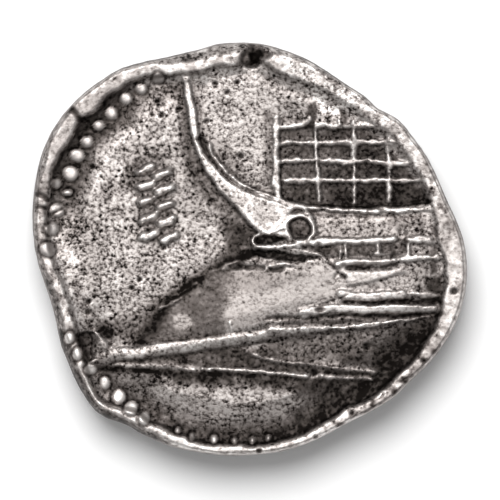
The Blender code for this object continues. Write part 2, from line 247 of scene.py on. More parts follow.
ANGLE = np.arctan2(UPWARD, ACROSS)
EDGE = outline(ANGLE)
INSET = EDGE - np.hypot(ACROSS, UPWARD)
RIM_WIDTH = around(RIM_WIDTHS, ANGLE) * (1 + 0.09 * hills(0.5, 5)) + 0.03 * hills(0.2, 26)
CREST_START = np.clip(around(CREST_STARTS, ANGLE) + 0.05 * hills(0.30, 22), 0.05, 0.62 * RIM_WIDTH)
print("the flan is", round(float(EDGE.min()), 2), "to", round(float(EDGE.max()), 2), "mm from its middle")

# %% [markdown]
# Inside the rim lies a sunk channel, deep on the left and below, where the die bit hardest, and gone at the
# right. From the edge inwards the face is a row of levels; a smooth run between each pair gives the section
# of the rim, the channel and the field.

# %% Levels from the edge inwards
RIM_LEAN, RIM_HIGHEST = 0.10, math.radians(150)


def section_of(levels):
    """A sheet that runs from level to level, each given as (distance in from the edge, height)."""
    sheet = np.full(INSET.shape, levels[0][1])
    for (start, low), (end, high) in zip(levels, levels[1:]):
        sheet += full(INSET - start, end - start) * (high - low)
    return sheet


SINKING = np.clip(around(CHANNEL_DEPTHS, ANGLE), -1, 1)
channel = FIELD - (FIELD - CHANNEL) * SINKING
rim = RIM + RIM_LEAN * np.cos(ANGLE - RIM_HIGHEST) + 0.012 * hills(0.9, 6) + 0.007 * hills(0.2, 27)
face = soften(section_of((
    (0.00, WAIST), (0.04, WAIST + 1.15), (0.03 + 0.6 * CREST_START, rim - 0.22), (CREST_START + 0.08, rim - 0.02),
    (RIM_WIDTH - 0.03, rim - 0.05), (RIM_WIDTH + 0.15, channel + 0.14), (RIM_WIDTH + 0.70, channel),
    (RIM_WIDTH + 1.35, channel + 0.03), (RIM_WIDTH + 2.60, FIELD - 0.03 * SINKING),
)), 0.05)
print("face runs from", round(float(face.min()), 2), "to", round(float(face.max()), 2), "mm above the table")

# %% [markdown]
# ## The beads
# A circle of beads was drilled into the die as small pits, so each bead is a dome with a moat where the drill's
# lip pressed in. Those at the left are worn to different sizes, and those below are nearly gone.

# %% Beads in the channel
BEADS = (
    (-5.62, 10.62, 0.31, 0.27), (-6.71, 9.94, 0.36, 0.27), (-7.64, 9.31, 0.36, 0.28), (-8.53, 8.39, 0.34, 0.32),
    (-9.32, 7.66, 0.33, 0.31), (-10.09, 6.71, 0.35, 0.31), (-10.69, 5.82, 0.4, 0.39), (-11.14, 4.72, 0.42, 0.38),
    (-11.98, 4.1, 0.26, 0.26), (-11.32, 3.52, 0.27, 0.16), (-11.9, 2.41, 0.4, 0.38), (-12.19, 1.27, 0.38, 0.34),
    (-12.49, -0.03, 0.46, 0.4), (-11.15, -5.45, 0.3, 0.3), (-10.61, -6.44, 0.24, 0.38), (-9.86, -7.5, 0.34, 0.27),
    (-8.98, -8.36, 0.24, 0.38), (-8.14, -9.16, 0.37, 0.37), (-7.4, -9.85, 0.38, 0.38), (-6.51, -10.45, 0.34, 0.36),
    (-4.43, -11.19, 0.15, 0.17), (-3.54, -11.56, 0.14, 0.2), (-2.21, -11.72, 0.17, 0.22), (-0.96, -11.81, 0.12, 0.15),
    (0.12, -11.77, 0.12, 0.15), (1.15, -11.62, 0.12, 0.13),
)
BEAD_HEIGHT, BEAD_FOOT = 0.20, 0.05
MOAT_DEPTH, MOAT_EDGE = 0.10, 0.22
beads, moats = np.zeros(face.shape), np.zeros(face.shape)
for x, y, across, along in BEADS:
    blob(moats, x, y, across + MOAT_EDGE, along + MOAT_EDGE, MOAT_DEPTH)
    blob(beads, x, y, across + BEAD_FOOT, along + BEAD_FOOT, BEAD_HEIGHT, 3.0)
print(len(BEADS), "beads")

# %% [markdown]
# ## The ship's bow
# The ship is a galley, seen from its side: a curved stem post, a latticed forecastle, an eye, strong wales
# along the side, and a ram with a snout. The side itself swells gently out of the field. Its outline is filled
# as a patch, and across it the swell rises from the upper edge and stays high until close to the ram.

# %% The swelling side
SIDE_STATIONS = (
    (-6.8, -5.5, -6.15, 0.0), (-5.55, -3.95, -6.1, 0.08), (-4.0, -2.6, -5.95, 0.17), (-2.4, -1.25, -5.8, 0.3),
    (-0.6, -0.45, -5.6, 0.44), (0.9, 1.2, -5.4, 0.5), (2.6, 2.2, -5.15, 0.52), (5.0, 2.3, -4.9, 0.44),
    (8.0, 2.35, -4.6, 0.32), (12.5, 2.4, -3.9, 0.22),
)
SHARES_DOWN = (0.0, 0.07, 0.30, 0.50, 0.74, 0.88, 1.0, 1.06)
SHARES_OF_SWELL = (0.0, 0.42, 0.76, 0.95, 1.0, 0.84, 0.30, 0.0)
stations = np.array(SIDE_STATIONS).T
upper, lower, swell = (np.interp(HAND_X, stations[0], row, left=0, right=row[-1]) for row in stations[1:])
down = (upper - HAND_Y) / np.maximum(upper - lower, 0.1)
section = np.interp(down, SHARES_DOWN, SHARES_OF_SWELL)
hull = np.where(HAND_X > stations[0][0], section * swell, 0) * ease((INSET - RIM_WIDTH) / 0.9)
hull = soften(hull, 0.10)
print("the side swells by", round(float(hull.max()), 2), "mm")

# %% [markdown]
# The stem post is a flat blade that widens down to the bow, with a thin moulding along its inner side that
# runs on as the gunwale. A groove is cut between them, deeper at the moulding's top, so that they stay apart
# when the face is worn.

# %% The stem post and the gunwale
STEM_OUTER = (
    (-4.17, 11.38), (-4.11, 10.51), (-3.97, 9.27), (-3.8, 8.03), (-3.53, 6.79), (-3.25, 6.17), (-3.01, 5.55),
    (-2.7, 4.93), (-2.26, 4.31), (-1.89, 3.69), (-1.33, 3.07), (-0.71, 2.45), (-0.22, 1.83), (0.28, 1.33),
    (0.78, 1.02), (1.15, 0.85),
)
STEM_INNER = (
    (-3.68, 11.38), (-3.63, 10.51), (-3.49, 9.27), (-3.31, 8.03), (-3.05, 6.79), (-2.85, 6.17), (-2.45, 5.55),
    (-1.89, 4.93), (-1.27, 4.31), (-0.53, 3.81), (0.28, 3.44), (1.15, 3.13), (2.02, 2.88), (2.88, 2.72),
)
INNER_MOULDING = (
    (-2.57, 6.6), (-2.39, 6.04), (-2.14, 5.55), (-1.77, 5.18), (-1.33, 4.74), (-0.84, 4.31), (-0.28, 3.97),
    (0.28, 3.69), (0.78, 3.44), (1.4, 3.22), (2.02, 3.04), (2.88, 2.82), (3.75, 2.6), (4.99, 2.47), (6.23, 2.42),
    (8.03, 2.41),
)
GUNWALE_END = ((8.34, 2.48), (9.33, 2.42), (10.57, 2.48), (11.87, 2.51))
TOP_CUT = ((-3.07, 6.88), (-2.88, 6.54), (-2.7, 6.11), (-2.45, 5.67))
GROOVE = ((-2.55, 5.85), (-2.05, 5.22), (-1.4, 4.55), (-0.55, 3.97), (0.25, 3.58), (1.1, 3.28))
relief, cuts, shine = (np.zeros(face.shape) for _ in range(3))


def raised(points, half, height, polish=1.0):
    """A stroke that stands proud and is rubbed to this polish, 1 for the brightest metal."""
    place, body = stroke(relief, points, half, height)
    shine[place] = np.maximum(shine[place], polish * body)


blade = patch((*STEM_OUTER, (2.20, 1.20), (2.30, 1.90), *STEM_INNER[::-1]), 0.07)
blade_height = 0.20 + 0.016 * (11 - np.clip(UPWARD, 0, 11))
relief = np.maximum(relief, blade * blade_height * ease(1.4 - hull))
shine = np.maximum(shine, (0.66 + 0.12 * np.clip(hills(0.20, 34), -2, 2)) * blade)
raised(INNER_MOULDING, (0.09, 0.15), (0.20, 0.26))
raised(GUNWALE_END, 0.13, 0.12, 0.3)
stroke(cuts, TOP_CUT, (0.16, 0.12), 0.14)
stroke(cuts, GROOVE, (0.07, 0.05), 0.08, 0.04)
print("blade covers", round(float(blade.sum()) * CELL**2, 1), "square mm")

# %% [markdown]
# ## The lattice of the forecastle
# The forecastle's side is a lattice of thin bars over sunk panels. The whole panel is sunk first, then the posts
# and the rails are laid on it. Several rails are broken, and their ends are kept.

# %% Panels, posts and rails
LATTICE_PANEL = (
    (1.83, 7.47), (3.25, 7.53), (4.25, 7.53), (5.61, 7.47), (6.85, 7.59), (8.46, 7.59), (8.65, 6.73), (9.39, 6.6),
    (10.01, 6.04), (10.14, 5.42), (10.57, 4.87), (10.7, 4.25), (11.13, 3.44), (11.13, 2.88), (9.33, 2.7),
    (6.23, 2.62), (3.75, 2.79), (2.88, 2.94), (1.95, 3.25),
)
POSTS = (
    (((1.63, 8.21), (1.66, 7.22), (1.59, 5.86), (1.62, 4.93), (1.68, 4.0), (1.83, 3.19)), 0.19),
    (((4.18, 7.78), (4.22, 6.79), (4.17, 5.67), (4.22, 4.93), (4.26, 4.18), (4.33, 3.01)), 0.12),
    (((6.42, 7.91), (6.45, 6.79), (6.45, 5.55), (6.43, 4.43), (6.48, 2.94)), 0.13),
    (((8.59, 7.78), (8.59, 6.79), (8.62, 6.04), (8.69, 5.36), (8.65, 4.43), (8.65, 2.94)), 0.12),
)
RAILS = (
    ((1.83, 7.64), (2.51, 7.63), (3.25, 7.64), (3.47, 7.81), (3.69, 8.06)),
    ((4.25, 7.66), (4.74, 7.72), (5.52, 7.63), (5.55, 8.03)),
    ((6.35, 7.75), (6.97, 7.63), (7.72, 7.75), (8.53, 7.78)),
    ((1.83, 6.6), (3.13, 6.68), (4.25, 6.6), (5.61, 6.7), (6.42, 6.67), (7.78, 6.7), (8.59, 6.67), (9.33, 6.63)),
    ((1.83, 5.42), (3.13, 5.51), (4.25, 5.49), (5.3, 5.52), (6.42, 5.42), (7.78, 5.49), (8.59, 5.36), (10.26, 5.36)),
    ((2.2, 4.28), (3.44, 4.31), (4.25, 4.25), (5.3, 4.31), (6.42, 4.27), (8.59, 4.25), (9.52, 4.28), (10.76, 4.31)),
)
RAIL_HALF, RAIL_SHARE = 0.155, 0.92
panel, bars = patch(LATTICE_PANEL, 0.07), np.zeros(face.shape)
for points, half in POSTS:
    stroke(bars, points, half, 1.0, 0.05)
for points in RAILS:
    stroke(bars, points, RAIL_HALF, RAIL_SHARE, 0.05)
print(len(POSTS), "posts and", len(RAILS), "rails")

# %% [markdown]
# ## Eye and mouth
# The bow carries a painted eye on a real ship, cut here as a round socket inside a raised lid, and below it the
# slot where the mouth would be. The lid is one stroke that stays open below, under a separate brow.

# %% The eye and the slot under it
EYE_LID = (
    (2.54, 0.59), (2.29, 1.15), (2.26, 1.52), (2.45, 1.85), (2.76, 2.08), (3.13, 2.16), (3.5, 2.08), (3.81, 1.8),
    (4.02, 1.4), (3.97, 0.96), (3.69, 0.59),
)
BROW = ((2.7, 2.78), (3.13, 2.65), (3.5, 2.38), (3.78, 2.05), (3.96, 1.72))
EYE_SOCKET = (
    (2.51, 1.71), (2.82, 1.95), (3.25, 1.99), (3.56, 1.83), (3.81, 1.46), (3.79, 1.08), (3.56, 0.71), (3.13, 0.59),
    (2.7, 0.71), (2.45, 1.15),
)
MOUTH = (
    (0.32, 0.46), (0.59, 0.75), (1.08, 0.87), (1.71, 0.78), (2.29, 0.63), (1.71, 0.49), (1.02, 0.35), (0.5, 0.34),
)
LIP = ((2.26, 0.84), (1.71, 0.97), (1.08, 1.05), (0.53, 0.94), (0.18, 0.59), (0.28, 0.3), (0.65, 0.13))
raised(EYE_LID, 0.15, 0.30)
raised(BROW, 0.12, 0.28, 0.9)
raised(LIP, 0.11, 0.28)
HOLLOW_DEPTH, HOLE_DEPTH = 0.20, 0.18
for hollow in (patch(EYE_SOCKET, 0.08), patch(MOUTH, 0.08)):
    cuts = np.maximum(cuts, HOLLOW_DEPTH * hollow)
    relief *= 1 - hollow
    shine *= 1 - hollow
print("eye and mouth cut")

# %% [markdown]
# ## Wales, planks and struts
# Long timbers strengthen the side. Each is one stroke with the height it has left, and the dark gap under it is
# a cut of its own. Where a blow or a worn die has erased a timber, the stroke simply ends and starts again.

# %% Timbers along the side
TIMBERS = (
    (((0.4, 0.12), (1.58, 0.17), (2.39, 0.22), (3.13, 0.2)), 0.16, 0.2, 0.9),
    (((3.01, 0.43), (4.37, 0.51), (5.61, 0.53), (6.85, 0.51), (7.84, 0.59), (8.96, 0.63)), 0.21, 0.24, 0.85),
    (((9.83, 0.56), (10.88, 0.58), (11.81, 0.65), (12.4, 0.68)), 0.22, 0.2, 0.9),
    (((2.51, -0.06), (3.44, -0.06), (4.12, -0.24), (4.68, -0.61), (5.24, -1.02)), 0.07, 0.1, 0.6),
    (((5.49, -0.87), (6.23, -0.75), (7.47, -0.7), (8.96, -0.74)), 0.18, 0.2, 1.0),
    (((9.46, -0.63), (10.2, -0.55), (11.07, -0.49), (12.1, -0.45)), 0.17, 0.18, 0.8),
    (((5.67, -2.8), (6.6, -2.9), (7.59, -2.9), (9.46, -2.84)), 0.25, 0.16, 0.9),
    (((10.1, -2.78), (11.25, -2.88), (11.7, -2.9)), 0.17, 0.14, 0.7),
    (((3.3, -3.92), (4.12, -3.79), (4.99, -3.71), (6.23, -3.7), (7.78, -3.7), (9.33, -3.71), (10.94, -3.75),
     (12.06, -3.83)), (0.26, 0.24), (0.14, 0.22), 0.95),
    (((5.7, 0.34), (5.7, -0.46)), 0.09, 0.16, 0.9),
    (((6.03, 0.34), (6.03, -0.46)), 0.09, 0.16, 0.9),
    (((7.94, 0.59), (7.99, -0.28)), 0.13, 0.18, 0.9),
    (((7.75, -0.26), (8.3, -0.3)), 0.08, 0.16, 0.9),
    (((9.89, 0.46), (9.85, -0.4)), 0.11, 0.16, 0.9),
    (((1.25, -0.98), (1.9, -0.9), (2.6, -0.95)), 0.07, 0.1, 0.8),
    (((-1.7, -1.3), (-1.1, -0.88), (-0.3, -0.7), (0.3, -0.75)), 0.06, 0.08, 0.6),
)
GAPS = (
    (((0.46, -0.16), (1.2, -0.26), (1.9, -0.38), (2.6, -0.48), (3.3, -0.56)), (0.24, 0.18), 0.22),
    (((3.2, -0.46), (3.9, -0.5), (4.62, -0.6)), (0.1, 0.05), 0.14),
    (((4.25, -0.5), (5.92, -0.49), (7.78, -0.53), (9.46, -0.43)), 0.05, 0.07),
    (((6.11, -1.11), (7.78, -1.12), (9.08, -1.02)), 0.1, 0.1),
    (((5.6, -3.3), (6.4, -3.28), (7.78, -3.31), (9.33, -3.3), (10.88, -3.33), (11.87, -3.24)), (0.04, 0.2), 0.13),
    (((1.15, -4.25), (3.13, -4.16), (4.99, -4.18), (6.85, -4.09), (9.33, -4.2), (10.88, -4.1), (11.87, -4.0)),
     (0.1, 0.2), 0.1),
    (((3.32, -3.54), (3.88, -3.35), (4.5, -3.16), (5.12, -2.98)), 0.03, 0.04),
    (((-1.33, -1.2), (-0.59, -1.11), (0.15, -1.12), (0.78, -1.12)), 0.14, 0.12),
    (((1.27, -1.18), (1.64, -1.23), (2.14, -1.15)), 0.12, 0.1),
    (((2.3, -1.13), (3.13, -1.11)), 0.04, 0.05),
)
PLANK = ((5.98, -1.46), (6.85, -1.33), (8.4, -1.31), (9.46, -1.23), (9.7, -1.46), (7.59, -1.98), (6.23, -2.23))


def raised_patch(points, feather, height, polish):
    """A flat patch that stands proud, rubbed to this polish."""
    inside = patch(points, feather)
    np.maximum(relief, height * inside, out=relief)
    np.maximum(shine, polish * inside, out=shine)


for points, half, height, polish in TIMBERS:
    raised(points, half, height, polish)
for points, half, depth in GAPS:
    stroke(cuts, points, half, depth)
raised_patch(PLANK, 0.08, 0.08, 0.60)
print(len(TIMBERS), "timbers and", len(GAPS), "gaps")

# %% [markdown]
# ## The ram
# The ram is a round bronze-shod timber: thick at the snout, tapering into the side. A round section is what
# makes it catch a line of light along its upper flank. Below it run the snout's lower lip and the double line
# of the keel.

# %% Ram, snout and keel
def rod(layer, points, half, height):
    """Raises the layer to a stroke with a round section."""
    path = curve(points)
    place, distance, share = near(path, max(half))
    body = np.sqrt(np.clip(1 - (distance / run(half, share)) ** 2, 0, 1))
    layer[place] = np.maximum(layer[place], run(height, share) * body)


RAM = (
    (-9.02, -6.66), (-8.53, -6.6), (-6.79, -6.4), (-5.55, -6.2), (-4.31, -6.01), (-3.07, -5.87), (-1.83, -5.76),
    (-0.59, -5.61), (0.78, -5.4), (2.2, -5.14),
)
RAM_END = (
    (1.27, -5.07), (2.26, -4.95), (3.75, -4.92), (5.3, -4.87), (6.85, -4.73), (8.09, -4.61), (9.33, -4.43),
    (10.7, -4.28), (11.81, -4.06),
)
KEEL_LINES = (
    (((-9.52, -7.25), (-8.34, -7.2), (-6.79, -7.14), (-5.55, -7.11), (-4.43, -7.22), (-3.38, -7.41)),
     0.13, 0.1, 0.25),
    (((-2.88, -7.31), (-0.59, -7.47), (1.27, -7.61), (3.13, -7.77), (3.63, -7.82)), 0.09, 0.22, 0.85),
    (((4.43, -7.88), (6.23, -7.97), (7.66, -8.04)), 0.08, 0.18, 0.8),
    (((-0.38, -6.23), (0.09, -6.42), (0.59, -6.65), (1.4, -6.86)), 0.07, 0.15, 0.75),
    (((1.4, -6.86), (2.51, -6.97), (3.75, -7.09), (4.99, -7.26), (6.23, -7.46), (7.84, -7.63)), 0.08, 0.15, 0.45),
    (((-9.64, -5.05), (-9.39, -5.36), (-9.02, -5.92), (-8.84, -6.23)), (0.08, 0.22), 0.26, 0.55),
    (((-10.14, -7.25), (-9.77, -7.0), (-9.27, -6.85), (-8.77, -6.79)), (0.1, 0.24), 0.24, 0.4),
    (((-1.27, -4.56), (-1.17, -4.87), (-1.15, -5.18)), 0.08, 0.1, 0.9),
    (((-5.61, -3.69), (-5.05, -3.53), (-4.68, -3.29), (-4.25, -2.98)), 0.08, 0.1, 0.5),
    (((-4.8, -2.94), (-4.06, -2.57), (-3.32, -2.08)), 0.07, 0.07, 0.4),
    (((-3.07, -1.64), (-2.14, -1.37), (-0.9, -1.02)), 0.07, 0.06, 0.4),
)
SNOUT_HOLE = (
    (-10.88, -5.3), (-10.26, -5.12), (-9.84, -5.18), (-9.74, -5.92), (-9.8, -6.85), (-10.06, -7.16), (-10.32, -6.85),
    (-10.51, -5.98),
)
SNOUT = (
    (-9.45, -5.3), (-9.08, -5.49), (-8.53, -5.92), (-8.15, -6.23), (-8.15, -6.97), (-8.96, -7.22), (-9.77, -7.28),
    (-9.58, -6.54), (-9.45, -5.92),
)
ram = np.zeros(face.shape)
rod(ram, RAM, (0.44, 0.34), (0.26, 0.19))
stroke(ram, RAM_END, (0.20, 0.08), (0.22, 0.16))
for points, half, height, polish in KEEL_LINES:
    raised(points, half, height, polish)
relief = np.maximum(relief, ram)
shine = np.maximum(shine, 0.38 * full(ram, 0.12) * ease((HAND_X + 9.6) / 1.4))
raised_patch(SNOUT, 0.12, 0.20, 0.25)
hole = patch(SNOUT_HOLE, 0.08)
cuts = np.maximum(cuts, HOLE_DEPTH * hole)
shine *= 1 - hole
print("the ram stands", round(float(ram.max()), 2), "mm proud")

# %% [markdown]
# ## Plain strokes beside the ship
# Two short rows of strokes run down beside the stem. They are plain parallel cuts of the graver, raised as
# boldly as the rest of the relief and filled with dirt between. A stroke needs no curve, so two points do.

# %% Two rows of strokes
marks = np.zeros(face.shape)
STROKE_ROWS = ((-6.52, 4.95, 0.42), (-5.34, 4.75, 0.4))
STROKES_A_ROW, STROKE_STEP = 5, np.array((0.08, -1.0))
SLANT = math.radians(22)
for x, y, half_length in STROKE_ROWS:
    reach = half_length * np.array((math.cos(SLANT), math.sin(SLANT)))
    for i in range(STROKES_A_ROW):
        middle = (x, y) + i * STROKE_STEP
        stroke(marks, (middle - reach, middle + reach), 0.23, 0.32, 0.10)
relief = np.maximum(relief, marks)
shine = np.maximum(shine, 0.9 * full(marks, 0.16))
print(STROKES_A_ROW * len(STROKE_ROWS), "plain strokes")

# %% [markdown]
# ## Pits and scratches
# Larger pits, knocks and scratches are scattered over both the field and the rim. Each pit is a small round
# hollow and each scratch a thin groove, and both hold dirt.

# %% Pits and scratches
PITS = (
    (-5.74, 9.23, 0.16), (-5.49, 8.37, 0.17), (-4.45, 8.77, 0.16), (-9.79, 5.14, 0.19), (-2.65, 7.97, 0.17),
    (-0.59, 5.8, 0.19), (-1.4, 9.7, 0.15), (-2.11, 10.32, 0.15), (-0.74, 10.32, 0.15), (4.35, -3.73, 0.25),
    (-10.01, -3.88, 0.19), (-10.01, -3.25, 0.19), (12.74, -2.63, 0.21), (0.53, -12.43, 0.19), (4.12, -11.69, 0.16),
    (-3.75, 12.02, 0.19), (6.25, -10.15, 0.15), (8.25, -9.0, 0.1), (9.7, -7.95, 0.12), (10.8, -6.9, 0.16),
    (4.0, -7.66, 0.25), (7.32, -5.98, 0.28), (-7.35, -2.33, 0.16), (-6.85, -1.89, 0.15),
)
SCRATCHES = (
    (((-11.2, 9.05), (-10.82, 8.53), (-10.3, 8.05)), 0.14),
    (((-8.36, 10.51), (-8.09, 10.88), (-7.87, 11.19)), 0.05),
    (((-13.3, 3.38), (-12.87, 3.25), (-12.43, 3.07)), 0.12),
    (((-13.18, 2.57), (-12.62, 2.57)), 0.07),
    (((-12.18, 2.2), (-11.9, 2.39), (-11.62, 2.57)), 0.07),
    (((3.32, 0.22), (3.88, 0.03), (4.5, -0.28), (4.99, -0.78), (5.49, -1.27), (5.92, -1.71)), 0.06),
    (((5.3, -1.8), (5.45, -1.5), (5.67, -1.15)), 0.03),
    (((4.25, -3.56), (4.99, -3.25), (5.67, -3.01), (6.48, -2.63)), 0.05),
    (((-8.65, -5.92), (-8.71, -6.17), (-8.84, -6.48)), 0.08),
    (((-9.86, -5.25), (-9.78, -6.0), (-9.86, -6.85)), 0.07),
    (((9.15, 1.27), (9.33, 0.96), (9.27, 0.53), (9.46, 0.28)), 0.06),
    (((9.77, 1.09), (9.64, 0.59), (9.83, 0.4)), 0.05),
    (((8.77, 0.16), (8.9, -0.28), (8.77, -0.65), (9.08, -1.02)), 0.05),
    (((-3.07, -12.62), (-2.94, -12.99)), 0.09),
)
scars = np.zeros(face.shape)
PIT_DEPTH, SCRATCH_DEPTH = 0.12, 0.08
for x, y, size in PITS:
    blob(scars, x, y, size, 0.9 * size, PIT_DEPTH)
for points, half in SCRATCHES:
    stroke(scars, points, half, SCRATCH_DEPTH, 0.05)
print(len(PITS), "pits and", len(SCRATCHES), "scratches")

# %% [markdown]
# ## Bring the face together
# The layers are summed once, in the order a die gives them: the flan, the swelling side, the sunk panel, the
# relief and then the cuts. A light blur stands for two thousand years of handling, and a deep notch at the top
# was struck out of the rim.

# %% Add the layers and wear them
print("layers", round(float(relief.max()), 2), "mm up and", round(float(cuts.max()), 2), "mm down")
NOTCH = (
    (0.09, 12.77), (0.4, 12.56), (0.84, 12.31), (1.33, 12.15), (1.15, 11.87), (0.78, 11.63), (0.4, 11.32),
    (-0.03, 11.25), (-0.4, 11.32), (-0.65, 11.63), (-0.53, 12.0), (-0.22, 12.37),
)
PANEL_DEPTH, NOTCH_DEPTH, WEAR = 0.17, 0.42, 0.03
BAR_OVER_PANEL, BAR_OVER_FIELD = 0.19, 0.12
notch = patch(NOTCH, 0.14)
blob(notch, 0.36, 12.0, 0.62, 0.62, 1.5)
notch = soften(notch, 0.06) * (1 + 0.12 * hills(0.14, 7))
stop_at_rim = ease((INSET - RIM_WIDTH - 0.05) / 0.35)
bar_height = np.where(panel > 0.02, BAR_OVER_PANEL, BAR_OVER_FIELD)
face = face + hull + (np.maximum(relief, bar_height * bars) - PANEL_DEPTH * panel) * stop_at_rim
face += (beads - moats) * ease((INSET - 0.25) / 0.3)
face -= cuts * stop_at_rim + NOTCH_DEPTH * notch + scars
face = soften(face, WEAR)
print("face is up to", round(float(face.max()), 2), "mm above the table")

# %% [markdown]
# ## Where dirt sits, where hands rub and where shade is painted
# Silver blackens where nothing rubs it. A cell that lies lower than its neighbourhood keeps its dirt, one that
# stands higher is polished. Comparing the face with blurred copies of itself finds both, at two sizes: broad
# hollows, and the thin dark line at the foot of every ridge.

# %% Toning from the shape of the face
BASE_TONE, BROAD, NARROW = 0.42, 0.60, 0.16
broad = np.clip(soften(face, BROAD) - face, -0.25, 0.3)
narrow = np.clip(soften(face, NARROW) - face, -0.07, 0.09)
in_from_rim = INSET - RIM_WIDTH
open_rim = ease((1.3 - in_from_rim) / 0.8) * full(1 - SINKING, 1.0)
toning = BASE_TONE + (0.9 * broad + 3.2 * narrow) * (1 - 0.8 * open_rim)
toning += 0.040 * hills(0.45, 8) + 0.035 * hills(0.20, 21)
print("toning from the shape alone:", round(float(toning[INSET > 0].mean()), 2))

# %% [markdown]
# Some places have kept more dirt, or been rubbed more, than their shape alone would tell, and some carry
# painted shade. Each is an outline with a feather, the toning it leans towards and how far, from 0 for bright
# silver to 1 for black. The first are painted shade left of the stem and under the bow, then the toning under
# the keel, round the snout, between the ram and the keel, and at the side's left end.

# %% Painted shade by the bow and other toned places
HOLD = 0.9


def lean(tone, level, share):
    """A toning drawn this share of the way towards a level."""
    return tone + (level - tone) * share


def tone_places(places):
    """Draws the toning towards the level of each place."""
    for points, feather, level, share in places:
        place, inside = filled(points, feather)
        toning[place] = lean(toning[place], level, share * inside)
    print(len(places), "places toned by hand")


PAINTED_BOW_SHADE_AND_TONED_PLACES = (
    # painted shade left of the stem and under the bow, deepest at the bow's foot in the second outline
    (((-4.25, 10.2), (-3.88, 8.65), (-3.69, 7.1), (-3.32, 5.86), (-2.88, 5.05), (-2.26, 4.06), (-1.52, 3.07),
     (-0.59, 2.08), (0.09, 1.15), (0.22, 0.22), (-0.46, -0.34), (-1.33, -0.78), (-1.58, 0.34), (-1.83, 1.58),
     (-2.33, 2.7), (-3.07, 3.56), (-3.81, 4.31), (-4.12, 6.17), (-4.25, 8.03)), 0.3, 0.74, 0.8),
    (((-1.46, 1.58), (-0.84, 1.71), (0.03, 0.96), (0.15, -0.03), (-0.71, -0.53), (-1.71, -0.78), (-2.2, -0.78),
     (-1.46, -0.03), (-1.33, 0.84)), 0.3, 0.93, 0.82),
    (((11.19, -4.5), (11.87, -4.25), (11.07, -5.92), (10.45, -6.97), (9.21, -8.09), (7.59, -8.96), (6.23, -9.58),
     (5.61, -9.83), (6.85, -8.59), (8.09, -8.09), (8.34, -6.85), (8.83, -5.98), (9.58, -5.24)), 0.85, 0.97, 0.95),
    (((2.6, -8.34), (5.92, -8.34), (7.22, -8.46), (6.23, -9.46), (4.68, -10.38), (2.5, -10.9), (3.2, -9.6)),
     0.6, 0.67, 0.8),
    (((-9.1, -4.4), (-7.9, -4.25), (-6.9, -4.05), (-6.2, -3.3), (-5.5, -2.9), (-5.3, -3.6), (-6.6, -5.7),
     (-8.6, -5.8), (-9.2, -5.4)), 0.3, 0.72, 0.85),
    (((-9.5, -4.85), (-8.95, -4.72), (-8.45, -4.9), (-8.3, -5.25), (-8.5, -5.58), (-9.05, -5.5)), 0.12, 1.02, 0.95),
    (SNOUT, 0.15, 0.45, 0.9),
    (((1.5, -5.35), (10.5, -4.6), (9.6, -5.8), (8.2, -7.2), (3.1, -6.85), (0.6, -6.4)), 0.25, 0.72, 0.9),
    (((-8.9, -7.05), (-3.0, -6.3), (0.3, -6.2), (7.9, -7.7), (7.9, -7.95), (-2.9, -7.25)), 0.12, 0.87, 0.9),
    (((-6.6, -5.8), (-5.3, -3.9), (-3.0, -2.0), (-1.2, -1.1), (-1.6, -3.1), (-1.6, -5.45)), 0.3, 0.69, 0.95),
    (((-6.9, -9.0), (-5.0, -8.6), (-1.5, -8.9), (1.8, -9.1), (2.6, -9.6), (1.0, -10.6), (-1.5, -11.2), (-4.0, -10.9),
     (-6.2, -10.0)), 0.7, 0.41, 0.75),
)
tone_places(PAINTED_BOW_SHADE_AND_TONED_PLACES)

# %% [markdown]
# The open field between the stem and the lattice and the swell of the side are brighter. The planks between
# the timbers keep a middle grey.

# %% Open field, side and planks
OPEN = (
    (((-3.1, 10.4), (-1.5, 10.9), (0.5, 10.5), (2.9, 9.5), (3.1, 8.3), (1.1, 8.0), (1.0, 4.8), (-0.3, 5.3),
     (-2.3, 7.3)), 0.6, 0.35, 0.7),
    (((3.13, -0.78), (4.68, -1.02), (5.61, -1.4), (5.67, -2.63), (5.49, -3.01), (4.25, -3.25), (3.13, -3.63),
     (1.89, -4.0), (0.78, -4.25), (-0.59, -4.37), (-1.46, -4.12), (-1.46, -3.13), (-0.71, -2.26), (0.15, -1.64),
     (1.27, -1.27), (2.2, -1.27)), 0.75, 0.31, 0.85),
    (((-4.7, -4.2), (-4.1, -3.95), (-3.55, -4.15), (-3.4, -4.6), (-3.9, -5.05), (-4.6, -4.9)), 0.12, 0.34, 0.85),
    (((-5.0, -3.5), (-3.6, -2.5), (-2.2, -1.8), (-1.4, -3.2), (-2.2, -4.9), (-3.2, -4.1)), 0.5, 0.73, 0.85),
    (((5.7, -1.35), (9.6, -1.2), (9.4, -2.7), (5.7, -2.65)), 0.15, 0.4, 0.8),
    (((3.6, 1.95), (8.9, 1.95), (9.6, 0.8), (4.1, 0.8)), 0.2, 0.46, 0.8),
    (((3.2, 0.2), (9.8, 0.3), (9.6, -0.35), (4.6, -0.38)), 0.06, 0.8, 0.9),
)
tone_places(OPEN)

# %% [markdown]
# At the upper right the metal inside the rim is worn down to bright silver, and only a few hollows at the ends
# of the posts stay dark.

